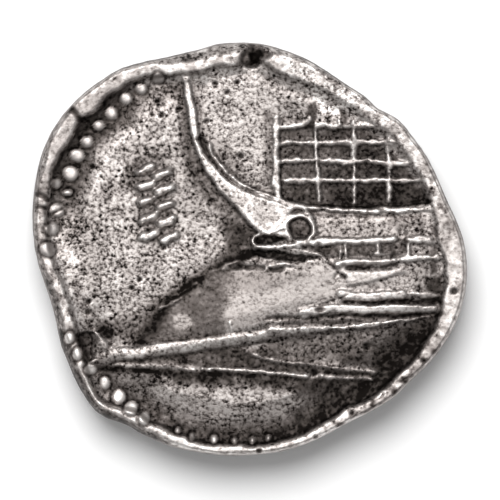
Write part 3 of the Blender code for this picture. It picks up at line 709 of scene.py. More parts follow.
# %% Worn metal at the upper right
WORN = (
    (((1.2, 11.25), (2.2, 11.05), (3.0, 10.7), (3.6, 10.1), (3.0, 9.8), (1.8, 10.3)), 0.25, 0.5, 0.9),
    (((1.89, 11.94), (2.51, 11.94), (3.44, 11.63), (4.25, 11.25), (4.31, 10.88), (3.63, 10.57), (2.88, 10.88),
     (2.14, 11.25)), 0.15, 0.14, 0.9),
    (((3.9, 10.8), (5.2, 10.7), (7.4, 9.4), (9.0, 8.1), (8.6, 7.6), (7.4, 8.1), (6.0, 8.2), (5.3, 7.9), (4.5, 8.3),
     (3.8, 9.3)), 0.2, 0.13, 0.9),
    (((8.2, 8.3), (9.6, 7.6), (11.4, 5.2), (12.6, 2.6), (11.6, 2.6), (10.9, 4.2), (10.2, 5.6), (9.6, 6.7),
     (8.6, 7.5)), 0.15, 0.2, 0.85),
    (((3.3, 9.9), (4.2, 9.7), (4.2, 8.9), (3.4, 8.9)), 0.2, 0.56, 0.6),
    (((4.72, 10.15), (5.08, 10.05), (5.3, 9.3), (5.1, 8.95), (4.75, 9.0), (4.56, 9.6)), 0.12, 0.84, 0.9),
    (((3.8, 8.95), (4.25, 8.9), (4.25, 8.35), (4.05, 7.3), (3.4, 7.3), (3.5, 8.2)), 0.1, 0.92, 0.9),
    (((5.52, 8.9), (6.0, 8.8), (6.18, 8.2), (6.0, 7.7), (5.64, 7.7), (5.62, 8.3)), 0.1, 0.92, 0.9),
    (((4.4, 8.4), (5.45, 8.3), (5.4, 7.85), (4.4, 7.85)), 0.12, 0.58, 0.85),
    (((6.1, 8.55), (6.85, 8.5), (7.4, 7.95), (6.1, 7.9)), 0.12, 0.6, 0.85),
    (((6.6, 9.5), (7.3, 9.45), (7.4, 8.95), (6.75, 9.0)), 0.12, 0.58, 0.7),
    (((7.75, 8.25), (8.3, 8.3), (8.4, 7.75), (7.8, 7.8)), 0.1, 0.84, 0.85),
    (((8.5, 7.75), (9.1, 7.75), (9.5, 7.0), (9.3, 6.5), (8.75, 6.6)), 0.12, 0.6, 0.8),
    (((6.88, 8.9), (7.6, 9.02), (8.25, 8.62), (8.25, 8.3), (7.4, 8.2), (6.92, 8.5)), 0.12, 0.12, 0.9),
)
tone_places(WORN)

# %% [markdown]
# The last ones are the dark right end of the side, the ground round the plain strokes, patches of the open
# field, and the side's dark top under the eye with the dull middle below it.

# %% The side's ends, its top and the ground round the strokes
OTHERS = (
    (((11.05, -1.85), (12.0, -1.6), (12.0, -3.4), (11.2, -3.4), (11.05, -2.6)), 0.15, 0.97, 0.85),
    (((-7.05, 5.6), (-5.45, 5.75), (-5.0, 3.6), (-5.2, 1.6), (-6.25, 1.2), (-6.9, 2.5)), 0.25, 0.66, 0.8),
    (((-7.9, 4.6), (-7.3, 5.3), (-6.2, 5.95), (-5.5, 5.8), (-5.9, 5.2), (-6.9, 4.6), (-7.2, 3.5), (-7.8, 3.6)),
     0.25, 0.78, 0.75),
    (((-4.4, 2.6), (-3.3, 2.2), (-2.7, 0.8), (-3.3, -0.5), (-5.2, -0.9), (-6.8, -0.4), (-5.6, 0.2), (-4.6, 0.4)),
     0.5, 0.3, 0.6),
    (((-9.3, -7.6), (-5.0, -7.7), (-5.6, -8.5), (-7.6, -8.9), (-8.9, -8.3)), 0.3, 0.68, 0.6),
    (((-7.0, -8.7), (-5.6, -8.5), (-3.6, -8.7), (-2.6, -9.4), (-3.6, -10.1), (-5.4, -9.9)), 0.5, 0.32, 0.5),
    (((5.6, -6.5), (6.8, -6.4), (7.0, -7.0), (5.8, -7.1)), 0.3, 0.88, 0.8),
    (((-10.6, 1.2), (-9.4, 1.2), (-9.2, -1.2), (-10.4, -1.3)), 0.4, 0.52, 0.6),
    (((-2.2, -1.5), (-1.2, -1.2), (1.2, -1.3), (2.2, -1.35), (1.4, -2.1), (0.2, -2.5), (-1.6, -2.6)),
     0.35, 0.66, 0.8),
    (((0.45, -0.5), (1.6, -0.62), (3.4, -0.78), (4.3, -0.8), (3.4, -1.02), (1.6, -0.98), (0.3, -0.92)),
     0.12, 0.6, 0.85),
    (((-1.2, -1.2), (1.2, -1.3), (3.3, -1.25), (3.6, -1.7), (2.4, -2.3), (0.6, -2.7), (-0.9, -2.4)), 0.35, 0.5, 0.7),
    (((8.6, 2.25), (10.9, 2.25), (10.9, 1.2), (9.6, 1.3), (8.6, 1.5)), 0.2, 0.66, 0.8),
    (((4.6, -2.2), (5.8, -1.9), (6.1, -2.9), (5.75, -3.4), (4.6, -3.4)), 0.2, 0.31, 0.8),
    (((2.0, -4.3), (5.0, -4.25), (9.33, -4.22), (10.7, -4.12), (9.33, -4.33), (6.85, -4.6), (3.75, -4.8),
     (2.0, -4.85)), 0.08, 0.74, 0.85),
)
tone_places(OTHERS)

# %% [markdown]
# Dark lines run along the foot of ridges. Most are painted shadow and shade: under the snout's lower lip, the
# keel and the ram, above the ram, along the bow's edge and left of the stem. The others darken grooves, gaps
# and cracks, a strip right of the stem, a few patches of field and the lattice's edges. These lines are strokes
# too, each with its half width, its softness and the toning it leans towards.

# %% Painted shade lines at the foot of ridges, and dark grooves
BOW_LINE = (
    (-6.79, -5.74), (-6.23, -5.18), (-5.8, -4.5), (-5.42, -3.88), (-4.8, -3.13), (-4.0, -2.51), (-3.07, -1.83),
    (-2.14, -1.3), (-1.21, -0.84), (-0.28, -0.46), (0.4, -0.15),
)
PAINTED_SHADE_AND_DARK_LINES = (
    # painted shade along the bow's edge
    (BOW_LINE, 0.42, 0.45, 0.8),
    (BOW_LINE[:5], 0.26, 0.34, 0.98),
    (((-5.2, -3.6), *BOW_LINE[4:]), 0.26, 0.2, 1.06),
    # painted shadow under the snout's lower lip and the keel, a dark line above the keel, then painted shade under
    # and above the ram
    (((-9.58, -7.47), (-8.15, -7.45), (-6.79, -7.48), (-5.24, -7.56), (-4.0, -7.71), (-2.76, -7.68)), 0.2, 0.12, 1.1),
    (((-4.6, -7.9), (-2.4, -7.98), (0.0, -8.15), (2.5, -8.38), (5.0, -8.6)), 0.38, 0.46, 0.94),
    (((-2.88, -7.62), (-0.59, -7.77), (1.27, -7.91), (3.13, -8.07), (4.5, -8.15), (6.23, -8.25), (7.22, -8.28)),
     0.14, 0.14, 1.02),
    (((-2.33, -7.15), (-0.59, -7.24), (1.27, -7.36), (3.13, -7.5), (3.88, -7.6), (6.23, -7.8), (7.97, -7.9)),
     0.06, 0.06, 0.95),
    (((-8.53, -6.97), (-6.79, -6.81), (-5.55, -6.69), (-4.31, -6.54), (-3.07, -6.33), (-1.52, -6.21), (-0.28, -6.04)),
     0.1, 0.1, 0.92),
    (((-6.54, -5.8), (-5.24, -5.7), (-4.0, -5.56), (-2.76, -5.42), (-1.83, -5.34)), 0.08, 0.08, 0.98),
    (((-2.76, 6.85), (-2.33, 6.23), (-1.95, 5.61), (-1.46, 5.08), (-0.84, 4.53), (-0.15, 4.03), (0.4, 3.72),
     (0.96, 3.5), (1.58, 3.32)), 0.08, 0.06, 1.0),
    (((2.14, 3.1), (3.13, 2.88), (4.37, 2.72), (6.23, 2.66), (8.09, 2.71), (9.58, 2.78), (11.07, 2.94)),
     0.14, 0.1, 1.05),
    (((-3.55, 10.6), (-3.35, 9.2), (-3.1, 7.9), (-2.75, 6.9)), 0.22, 0.2, 0.62),
    (((-0.3, 4.6), (-1.3, 5.5), (-1.9, 6.2)), 0.3, 0.35, 0.6),
    (((1.2, 8.4), (1.2, 6.0), (1.28, 4.2)), 0.28, 0.25, 0.72),
    (((1.9, 8.04), (3.2, 8.06)), 0.2, 0.2, 0.74),
    (((3.32, 2.33), (4.37, 2.15), (6.23, 2.1), (8.09, 2.12), (9.14, 2.2)), 0.07, 0.08, 0.8),
    # painted shade left of the stem
    (((-4.45, 10.2), (-4.3, 9.0), (-4.15, 7.8), (-3.95, 6.6), (-3.55, 5.6), (-2.9, 4.6)), 0.2, 0.3, 0.74),
    (((11.5, 1.3), (11.5, 0.85)), 0.22, 0.12, 0.96),
    (((11.5, 0.12), (11.47, -1.3)), 0.22, 0.12, 0.96),
)
patches = np.clip(0.95 + 0.25 * hills(0.26, 31), 0.6, 1.15)
for points, half, soft, level in PAINTED_SHADE_AND_DARK_LINES:
    place, distance, _ = near(curve(points), half + soft)
    body = ease((half + soft - distance) / (2 * soft))
    toning[place] = lean(toning[place], level, HOLD * body * patches[place])
print(len(PAINTED_SHADE_AND_DARK_LINES), "dark lines")

# %% [markdown]
# The rim's crest is bright metal. The slope outside it carries painted shade from the upper left round to the
# lower left and painted light at the lower right, and in places painted light brightens the rim's inner foot.
# The channel behind it holds dark dirt. How grey each is, how mottled, and how far the dirt spreads inwards all
# change round the coin, so the numbers are given every 15 degrees.

# %% The rim and its channel, every 15 degrees
SLOPE_PAINTED_LIGHT_AND_SHADE = (
    0.25, 0.28, 0.28, 0.28, 0.30, 0.36, 0.38, 0.40, 0.58, 0.58, 0.58, 0.58,
    0.55, 0.60, 0.70, 0.82, 0.80, 0.20, 0.08, 0.06, 0.06, 0.08, 0.10, 0.20,
)
CREST_TONES = (
    0.20, 0.41, 0.20, 0.42, 0.24, 0.19, 0.25, 0.26, 0.22, 0.27, 0.29, 0.42,
    0.38, 0.26, 0.30, 0.10, 0.20, 0.11, 0.19, 0.13, 0.44, 0.50, 0.44, 0.20,
)
MOTTLES = (
    0.06, 0.20, 0.12, 0.14, 0.16, 0.14, 0.14, 0.14, 0.08, 0.07, 0.07, 0.10,
    0.14, 0.14, 0.12, 0.10, 0.10, 0.08, 0.08, 0.12, 0.22, 0.22, 0.17, 0.10,
)
DITCH_WIDTHS = (
    2.2, 2.2, 2.2, 2.2, 2.2, 2.2, 2.5, 2.9, 2.8, 2.7, 2.7, 2.8,
    2.3, 2.0, 2.2, 2.2, 2.1, 2.1, 2.1, 2.1, 2.2, 2.4, 2.4, 2.2,
)
DITCH_TONES = (
    0.86, 0.86, 0.86, 0.86, 0.86, 0.86, 0.80, 0.63, 0.78, 0.90, 0.90, 0.86,
    0.72, 0.74, 0.84, 0.84, 0.90, 1.00, 1.03, 1.02, 1.00, 1.00, 1.00, 0.95,
)
INNER_FOOT_PAINTED_LIGHT_SHARES = (
    0.30, 0.00, 1.00, 0.60, 0.90, 0.50, 0.60, 1.00, 0.75, 0.00, 0.00, 0.20,
    1.00, 1.00, 0.60, 0.50, 0.00, 0.00, 0.00, 0.00, 0.00, 0.00, 0.00, 0.00,
)
ditch = ease(in_from_rim / 0.12) * ease((around(DITCH_WIDTHS, ANGLE) - in_from_rim) / 1.6) * np.clip(SINKING, 0, 1)
slope = ease(in_from_rim / -0.1) * ease((CREST_START - INSET) / 0.14 + 0.5)
crest = ease((INSET - CREST_START) / 0.14 + 0.5) * ease((RIM_WIDTH - INSET + 0.05) / 0.12)
# painted light at the rim's inner foot, where the ground slopes away from the lamp
lip = ease(in_from_rim / 0.08 + 0.5) * ease((0.80 - in_from_rim) / 0.35) * np.clip(around(INNER_FOOT_PAINTED_LIGHT_SHARES, ANGLE), 0, 1)
mottled = around(MOTTLES, ANGLE) * (hills(0.10, 28) + 0.5 * hills(0.40, 30))
print("the channel covers", round(float(ditch.sum()) * CELL**2, 1), "square mm")

# %% [markdown]
# The lattice's panels, the moats, the cuts, the notch and the pits hold the darkest dirt, and the tops of all the
# relief are the brightest metal. The rim's slope and inner foot take their painted shade and light here too, and
# the lower beads a painted light, as they lie on a slope turned from the lamp. They are laid on from the broad
# parts to the small ones, so that each small mark stays clear on what lies under it. Last comes a fine murk that
# breaks up whatever is dark.

# %% Dirt in the sunk parts, polish on the tops, painted shade and light on the rim and the lower beads
INNER_FOOT_PAINTED_LIGHT_TONE, POLISHED_TONE, LOWER_BEAD_PAINTED_LIGHT_TONE, UPPER_BEAD_TONE = 0.24, 0.14, 0.02, 0.20
MOAT_TONE, CUT_TONE, HOLLOW_TONE, SCAR_TONE = 1.04, 1.02, 0.83, 1.0
panel_tone = 0.84 + 0.014 * (ACROSS - 2) - 0.03 * (UPWARD - 5)
toning = lean(toning, around(DITCH_TONES, ANGLE), HOLD * ditch)
toning = lean(toning, panel_tone, HOLD * panel * stop_at_rim)
# painted shade and painted light on the rim's outer slope
toning = lean(toning, around(SLOPE_PAINTED_LIGHT_AND_SHADE, ANGLE) + mottled, HOLD * slope)
toning = lean(toning, around(CREST_TONES, ANGLE) + mottled, HOLD * crest)
# painted light at the rim's inner foot
toning = lean(toning, INNER_FOOT_PAINTED_LIGHT_TONE, 0.8 * lip)
toning = lean(toning, MOAT_TONE, 0.75 * full(moats, 0.08))
toning = lean(toning, CUT_TONE, 0.92 * full(cuts, 0.15))
for hollow in (EYE_SOCKET, SNOUT_HOLE):
    toning = lean(toning, HOLLOW_TONE, patch(hollow, 0.10))
tops = np.maximum(shine, bars) * stop_at_rim + 0.95 * full(beads, 0.08)
tops = np.maximum(tops, 0.9 * blade * ease((INSET - 0.55) / 0.3) * (1 - stop_at_rim))
toning = lean(toning, POLISHED_TONE + 0.06 * hills(0.13, 29), 0.94 * full(tops, 1.0))
# painted light: the lower beads lie on a slope turned from the lamp and are painted brighter
lower_bead_painted_light = full(beads, 0.14) * ease(-UPWARD / 4) * ease((UPWARD + 11.4) / 0.8)
upper_beads = full(beads, 0.10) * ease((UPWARD + 1) / 2)
toning = lean(toning, LOWER_BEAD_PAINTED_LIGHT_TONE, 0.8 * lower_bead_painted_light)
toning = lean(toning, UPPER_BEAD_TONE, 0.75 * upper_beads)
toning = lean(toning, 0.62 + 0.38 * np.clip(notch, 0, 1.4), 0.92 * full(notch, 1.0))
toning = lean(toning, SCAR_TONE, 0.85 * full(scars, 0.07))
murk = 0.050 * hills(0.055, 32) + 0.025 * hills(0.16, 33)
toning += murk * full(toning - 0.5, 0.25)
toning = np.clip(soften(toning, 0.025), 0, 1.1)
print("toning after the hand work:", round(float(toning[INSET > 0].mean()), 2))

# %% [markdown]
# The fields are finely pitted all over, as silver that lay in the ground gets. How strongly the pitting shows
# is a second mask: full on the open fields, faint on the polished tops and on the swelling side.

# %% How strongly the pitting shows
SMOOTH_SIDE = (
    (-6.6, -5.6), (-5.3, -3.9), (-1.2, -1.1), (2.2, -1.27), (4.68, -1.02), (5.61, -1.4), (5.67, -2.63), (5.49, -3.01),
    (3.13, -3.63), (0.78, -4.25), (-1.6, -5.3),
)
PLANKS = ((3.6, 2.1), (9.6, 2.1), (9.6, -2.7), (5.7, -2.65), (5.6, 0.0), (3.6, 0.6))
WORN_CORNER = ((2.0, 11.9), (5.0, 11.0), (8.8, 8.6), (9.6, 6.5), (8.5, 7.7), (4.3, 7.8), (3.4, 9.8))
grain = 0.85 + 0.15 * np.exp(-((ACROSS + 8.5) ** 2 + (UPWARD + 1.0) ** 2) / 20)
grain -= 0.45 * full(tops, 1.0) + 0.30 * full(beads, 0.08)
grain -= (0.60 - 1.2 * around(MOTTLES, ANGLE)) * crest
grain += 0.35 * patch(WORN_CORNER, 0.4) - 0.48 * patch(SMOOTH_SIDE, 0.5) - 0.18 * patch(PLANKS, 0.2)
grain *= 1 - 0.78 * full(toning - 0.55, 0.33)
grain = np.clip(soften(grain, 0.05), 0.08, 1.5)
print("pitting runs from", round(float(grain.min()), 2), "to", round(float(grain.max()), 2))

# %% [markdown]
# ## The underside
# The other die showed a lion's mask. This side took the most wear, so the mask is low and its highest points
# are rubbed flat; the coin lies on them. It is worked on a second sheet, with heights that hang down.

# %% The mask's ground and masses
under = section_of(((0.15, WAIST - 0.65), (0.80, 1.23), (1.90, 0.95), (4.30, 0.76)))
mask = np.zeros(face.shape)
MASSES = (
    (0.0, -0.2, 5.9, 6.2, 0.44), (0.0, 1.2, 1.3, 3.6, 0.82), (0.0, -1.75, 1.5, 1.0, 0.88),
    (0.0, -4.6, 1.6, 1.0, 0.72), (0.0, 4.3, 2.1, 1.2, 0.66), (1.5, -2.75, 1.75, 1.45, 0.84),
    (3.95, -0.95, 1.35, 1.75, 0.75), (4.2, 4.55, 1.3, 1.2, 0.6), (2.15, 1.1, 1.0, 0.75, 0.68),
)
for x, y, across, along, height in MASSES:
    blob(mask, x, y, across, along, height)
    blob(mask, -x, y, across, along, height)
print(len(MASSES), "masses in the mask")

# %% [markdown]
# Locks of mane ring the face, and fine cuts part them. Lids, brows, nostrils, whisker pits and the mouth are
# strokes as on the other side.

# %% The mask's mane and features
LOCKS, LOCK_RADII, LOCK_TURNS = 20, (5.60, 7.40, 9.20), (0, 3, 11)
HAIRS, HAIR_RADII, HAIR_TURNS = 60, (5.90, 7.40, 8.70), (0, 3, 10)
WHISKER_ROWS, WHISKER_SIZE, WHISKER_DEPTH = 3, 0.13, 0.12
MASK_BROW = ((0.7, 1.75), (1.9, 2.7), (4.0, 2.75))
FEATURES = (
    (((0.95, 0.95), (1.6, 1.55), (2.6, 1.55), (3.15, 1.0), (2.5, 0.62), (1.55, 0.62), (0.98, 0.93)), 0.07, 0.16),
    (((0.1, -2.6), (0.15, -3.3), (1.2, -4.0), (2.6, -3.95), (3.3, -3.4)), (0.08, 0.14), 0.28),
    (((0.55, -2.05), (0.95, -2.25), (1.25, -2.0)), 0.12, 0.2),
    (((0.75, 0.6), (0.8, -0.6), (1.15, -1.4)), 0.06, 0.1),
)


def curl(angle, radii, turns):
    """A bent spoke that starts at this angle: one point at each radius, turned on by these degrees."""
    return [(r * math.cos(t), r * math.sin(t)) for r, t in zip(radii, np.radians(turns) + angle)]


features = np.zeros(face.shape)
for i in range(LOCKS):
    rod(mask, curl(math.tau * (i + 0.5) / LOCKS, LOCK_RADII, LOCK_TURNS), (0.95, 0.22), (0.62, 0.24))
for side in (-1, 1):
    stroke(mask, [(side * x, y) for x, y in MASK_BROW], (0.55, 0.30), (0.84, 0.62), 0.2)
    for points, half, depth in FEATURES:
        stroke(features, [(side * x, y) for x, y in points], half, depth)
    for row in range(WHISKER_ROWS):
        for step in range(WHISKER_ROWS):
            x, y = side * (1.25 + 0.48 * step), -2.45 - 0.38 * row - 0.1 * step
            blob(features, x, y, WHISKER_SIZE, WHISKER_SIZE, WHISKER_DEPTH)
for i in range(HAIRS):
    stroke(features, curl(math.tau * (i + 0.2) / HAIRS, HAIR_RADII, HAIR_TURNS), (0.05, 0.03), 0.10)
under = under - soften(mask, 0.08) + soften(features, 0.02) * (mask > 0.05)
under = np.maximum(under, 0.0)
under = np.where(INSET > 1.2, np.maximum(soften(under, 0.05), 0.0), under)
print("the underside's lowest points:", round(float(under.min()), 3), "mm, worn flat")

# %% [markdown]
# The same comparison tones this side, with its hollows upwards, and the flats that the coin lies on are bright.

# %% Toning of the underside
FLAT_TONE, FLAT_DEPTH = 0.10, 0.06
under_broad = np.clip(under - soften(under, BROAD), -0.25, 0.3)
under_narrow = np.clip(under - soften(under, NARROW), -0.08, 0.10)
under_toning = BASE_TONE + under_broad + 2.6 * under_narrow + 0.06 * hills(0.5, 9)
under_toning = lean(under_toning, FLAT_TONE, 0.8 * ease((FLAT_DEPTH - under) / FLAT_DEPTH))
under_toning = np.clip(under_toning, 0, 1.05)
print("toning of the underside:", round(float(under_toning[INSET > 0].mean()), 2))

# %% [markdown]
# ## The mesh
# One closed skin carries both sheets. A square grid pressed into a disc covers each side without the pinched
# triangles that a fan of rings has in its middle; its outer row follows the flan's outline. A few rings round the
# edge join the two.

# %% A square grid pressed into the flan's outline
def disc(count):
    """(grid of shares of the radius, grid of angles) of a square grid with count steps a side."""
    line = np.linspace(-1, 1, count + 1)
    a, b = np.meshgrid(line, line)
    wide = np.abs(a) > np.abs(b)
    with np.errstate(divide="ignore", invalid="ignore"):
        turn = np.where(wide, np.pi / 4 * b / a, np.pi / 2 - np.pi / 4 * a / b)
    radius = np.where(wide, a, b)
    turn = np.nan_to_num(turn)
    return np.abs(radius), np.where(radius < 0, turn + np.pi, turn)


def border(count):
    """The grid's outer points in order round the disc, starting at its lower right corner."""
    rows = np.arange((count + 1) ** 2).reshape(count + 1, count + 1)
    return np.concatenate([rows[:-1, -1], rows[-1, :0:-1], rows[:0:-1, 0], rows[0, :-1]])


def read(sheet, x, y):
    """The sheet's value at any places, blended between its cells."""
    column, row = (x - SIDE[0]) / CELL, (y - SIDE[0]) / CELL
    left, low = np.floor(column).astype(int), np.floor(row).astype(int)
    column, row = column - left, row - low
    lower = sheet[low, left] * (1 - column) + sheet[low, left + 1] * column
    upper = sheet[low + 1, left] * (1 - column) + sheet[low + 1, left + 1] * column
    return lower * (1 - row) + upper * row


TOP_STEPS, UNDER_STEPS = 272, 136
TOP_INSET, UNDER_INSET = 0.12, 0.15
share, turn = disc(TOP_STEPS)
reach = share * (outline(turn) - TOP_INSET)
top_x, top_y = reach * np.cos(turn), reach * np.sin(turn)
under_share, under_turn = disc(UNDER_STEPS)
reach = under_share * (outline(under_turn) - UNDER_INSET)
under_x, under_y = reach * np.cos(under_turn), reach * np.sin(under_turn)
print(top_x.size, "points above and", under_x.size, "below")

# %% [markdown]
# The edge was hammered, so its rings waver in and out with many small waves, and its middle rises and falls.
# Every ring has half as many points as the upper grid's border, so three triangles at a time join them.

# %% Rings round the edge
SIDE_RINGS = ((0.06, 3.16), (0.02, 2.86), (0.0, 2.56), (0.0, 2.34), (0.03, 2.1), (0.085, 1.93))
around_loop = under_turn.ravel()[border(UNDER_STEPS)]
BEATS, BEAT_DEPTH, SEAM_LIFT = 26, 0.10, 0.15
rng = np.random.default_rng(12)
waves = [(rng.integers(7, 60), rng.uniform(0, math.tau), rng.uniform(0, 5)) for _ in range(BEATS)]
rings = []
for inset, height in SIDE_RINGS:
    beaten = sum(np.sin(n * around_loop + start + twist * height) for n, start, twist in waves) / len(waves)
    radius = outline(around_loop) - inset - BEAT_DEPTH * np.abs(beaten)
    lift = SEAM_LIFT * np.sin(2 * around_loop + 1.0) * math.exp(-((height - WAIST) / 0.5) ** 2)
    rings.append(np.stack([radius * np.cos(around_loop), radius * np.sin(around_loop), height + lift], axis=1))
print(len(rings), "rings of", len(around_loop), "points")

# %% [markdown]
# The squares of the grids and those between the rings become one list of faces over one list of points: the
# struck side first, then the edge, the underside and last the triangles that join the grid to the first ring.
# The masks and the metals are given out in the same order later.

# %% Join the grids and the rings into faces
def spots(sheet, x, y):
    """One row of (x, y, height) for each place."""
    return np.stack([x.ravel(), y.ravel(), read(sheet, x, y).ravel()], axis=1)


def grid_faces(count, first, flip):
    """The quads of a grid whose points are numbered from first, turned over for the underside."""
    rows = np.arange((count + 1) ** 2).reshape(count + 1, count + 1) + first
    corners = [rows[:-1, :-1], rows[:-1, 1:], rows[1:, 1:], rows[1:, :-1]]
    quads = np.stack([c.ravel() for c in corners], axis=1)
    return quads[:, ::-1] if flip else quads


points = np.concatenate([spots(face, top_x, top_y), *rings, spots(under, under_x, under_y)])
ring_at = [top_x.size + i * len(around_loop) for i in range(len(rings))]
under_at = ring_at[-1] + len(around_loop)
top_loop = border(TOP_STEPS)
loops = [first + np.arange(len(around_loop)) for first in ring_at] + [border(UNDER_STEPS) + under_at]
top_quads = grid_faces(TOP_STEPS, 0, False)
under_quads = grid_faces(UNDER_STEPS, under_at, True)
side_quads = [
    np.stack([low, np.roll(low, -1), np.roll(high, -1), high], axis=1) for high, low in zip(loops, loops[1:])
]
here, after = loops[0], np.roll(loops[0], -1)
even, odd, beyond = top_loop[0::2], top_loop[1::2], np.roll(top_loop[0::2], -1)
join = np.concatenate([np.stack(t, axis=1) for t in ((even, here, odd), (odd, here, after), (odd, after, beyond))])
faces = [*top_quads.tolist(), *np.concatenate(side_quads).tolist(), *under_quads.tolist(), *join.tolist()]
print(len(faces), "faces")

# %% [markdown]
# The faces become one object with smooth shading, so the light runs over the relief without a facet.

# %% Make the coin's object
def add_object(name, data):
    """A new object in the scene."""
    made = bpy.data.objects.new(name, data)
    bpy.context.scene.collection.objects.link(made)
    return made


coin_mesh = bpy.data.meshes.new("struck_coin")
coin_mesh.from_pydata((points * MM).tolist(), [], faces)
coin_mesh.shade_smooth()
coin = add_object("struck_coin", coin_mesh)
coin_mesh.calc_loop_triangles()
print("the skin has", len(coin_mesh.loop_triangles), "triangles")

# %% [markdown]
# The masks ride on the mesh as attributes: one number at each point, which a shader can read by name. That
# needs no images, and the masks stay in place from any side. The upper rings take over the toning of the rim's
# slope, with its painted shade and light, and it fades down the edge. Painted shade also darkens the upper rings
# towards the upper right, where the edge catches light.

# %% Store the masks on the mesh
def store(name, *parts):
    """Keeps one number at each point: those of the struck side, then the rings, then the underside."""
    values = np.concatenate([part.ravel() for part in parts]).astype(np.float32)
    coin_mesh.attributes.new(name, "FLOAT", "POINT").data.foreach_set("value", values)
    print(name, "at", len(values), "points")


EDGE_TONE, EDGE_PITTING, UNDER_PITTING = 0.50, 0.6, 0.7
FADES = np.array((1.0, 0.6, 0.2, 0.0, 0.0, 0.0))[:, None]
# the slope's painted shade and light, and painted shade on the edge's upper rings towards the upper right
rubbed = around(SLOPE_PAINTED_LIGHT_AND_SHADE, around_loop) - EDGE_TONE
rubbed += 0.35 * np.clip(np.cos(around_loop - math.radians(40)), 0, 1)
edge_toning = EDGE_TONE + 0.08 * np.sin(7 * around_loop) + FADES * rubbed
# the toning carries the painted shade and light as well as dirt and polish
store("toning", read(toning, top_x, top_y), edge_toning, read(under_toning, under_x, under_y))
edge_pitting, under_pitting = np.full(edge_toning.shape, EDGE_PITTING), np.full(under_x.shape, UNDER_PITTING)
store("pitting", read(grain, top_x, top_y), edge_pitting, under_pitting)

# %% [markdown]
# ## Silver
# Old coin silver is one metal in many states. A first node group makes the fine pitting, a second turns toning
# and pitting into the colour and the roughness of the metal at each place. The shader itself stays in the
# material, with the metal's fixed numbers on its own sockets.

# %% Helpers for node groups
def new_group(name, wants, gives):
    """A shader node group with these inputs as {name: default} and these outputs as {name: type}."""
    group = bpy.data.node_groups.new(name, "ShaderNodeTree")
    for label, value in wants.items():
        socket = group.interface.new_socket(label, in_out="INPUT", socket_type="NodeSocketFloat")
        socket.default_value = value
    for label, kind in gives.items():
        group.interface.new_socket(label, in_out="OUTPUT", socket_type=kind)
    return group, group.nodes.new("NodeGroupInput"), group.nodes.new("NodeGroupOutput")


def node(tree, kind, links=(), **settings):
    """Adds a node, sets its properties and links sockets to its inputs as (input, socket or number)."""
    made = tree.nodes.new(kind)
    for name, value in settings.items():
        setattr(made, name, value)
    for name, source in links:
        if isinstance(source, bpy.types.NodeSocket):
            tree.links.new(source, made.inputs[name])
        else:
            made.inputs[name].default_value = source
    return made


def maths(tree, operation, *values):
    """The result of a maths node on these sockets or numbers."""
    return node(tree, "ShaderNodeMath", enumerate(values), operation=operation).outputs[0]


def mapped(tree, value, source, target, clamp=True):
    """A value carried from one range (low, high) to another."""
    ranges = zip(("From Min", "From Max", "To Min", "To Max"), (*source, *target))
    return node(tree, "ShaderNodeMapRange", (("Value", value), *ranges), clamp=clamp).outputs["Result"]


print("helpers for node groups are ready")

# %% [markdown]
# The pitting is made of three things that the ground does to silver: a fine even roughness, broader patches
# where it is denser, and separate round holes. Together they are stretched, so that dark pits go further from
# the middle than bright grains do, and the mask says how strongly they show.

# %% A node group for fine pitting
PATCH_SHARE, HOLE_SHARE = 0.26, 0.62
pitting, given, result = new_group(
    "fine pitting", {"Pits per metre": 4200.0, "Strength": 1.0},
    {"Pits": "NodeSocketFloat", "Height": "NodeSocketFloat"},
)
place = node(pitting, "ShaderNodeTexCoord").outputs["Object"]
size = given.outputs["Pits per metre"]
fine = node(pitting, "ShaderNodeTexNoise", (("Vector", place), ("Scale", size), ("Detail", 2.5), ("Roughness", 0.6)))
patch_size = maths(pitting, "MULTIPLY", size, PATCH_SHARE)
patchy = node(pitting, "ShaderNodeTexNoise", (("Vector", place), ("Scale", patch_size), ("Detail", 2.0)))
hole_size = maths(pitting, "MULTIPLY", size, HOLE_SHARE)
holes = node(pitting, "ShaderNodeTexVoronoi", (("Vector", place), ("Scale", hole_size)))
rough_part = mapped(pitting, fine.outputs["Fac"], (0.34, 0.66), (-1.1, 1.1), clamp=False)
patchy_part = mapped(pitting, patchy.outputs["Fac"], (0.30, 0.70), (-0.50, 0.60), clamp=False)
hole_depth = mapped(pitting, holes.outputs["Distance"], (0.12, 0.36), (1.5, 0.0))
holes_part = maths(pitting, "MULTIPLY", hole_depth, holes.outputs["Color"])
total = maths(pitting, "ADD", maths(pitting, "ADD", rough_part, patchy_part), holes_part)
stretched = maths(pitting, "MULTIPLY", total, maths(pitting, "MULTIPLY_ADD", total, 0.32, 1.0))
pits = maths(pitting, "MULTIPLY", stretched, given.outputs["Strength"])
pitting.links.new(pits, result.inputs["Pits"])
pitting.links.new(maths(pitting, "MULTIPLY", pits, -1.0), result.inputs["Height"])
print("group:", pitting.name)

# %% [markdown]
# Toning turns silver from white through warm greys to black, and makes it duller as it goes. One ramp holds
# those colours, read at the toning with the pits added to it.

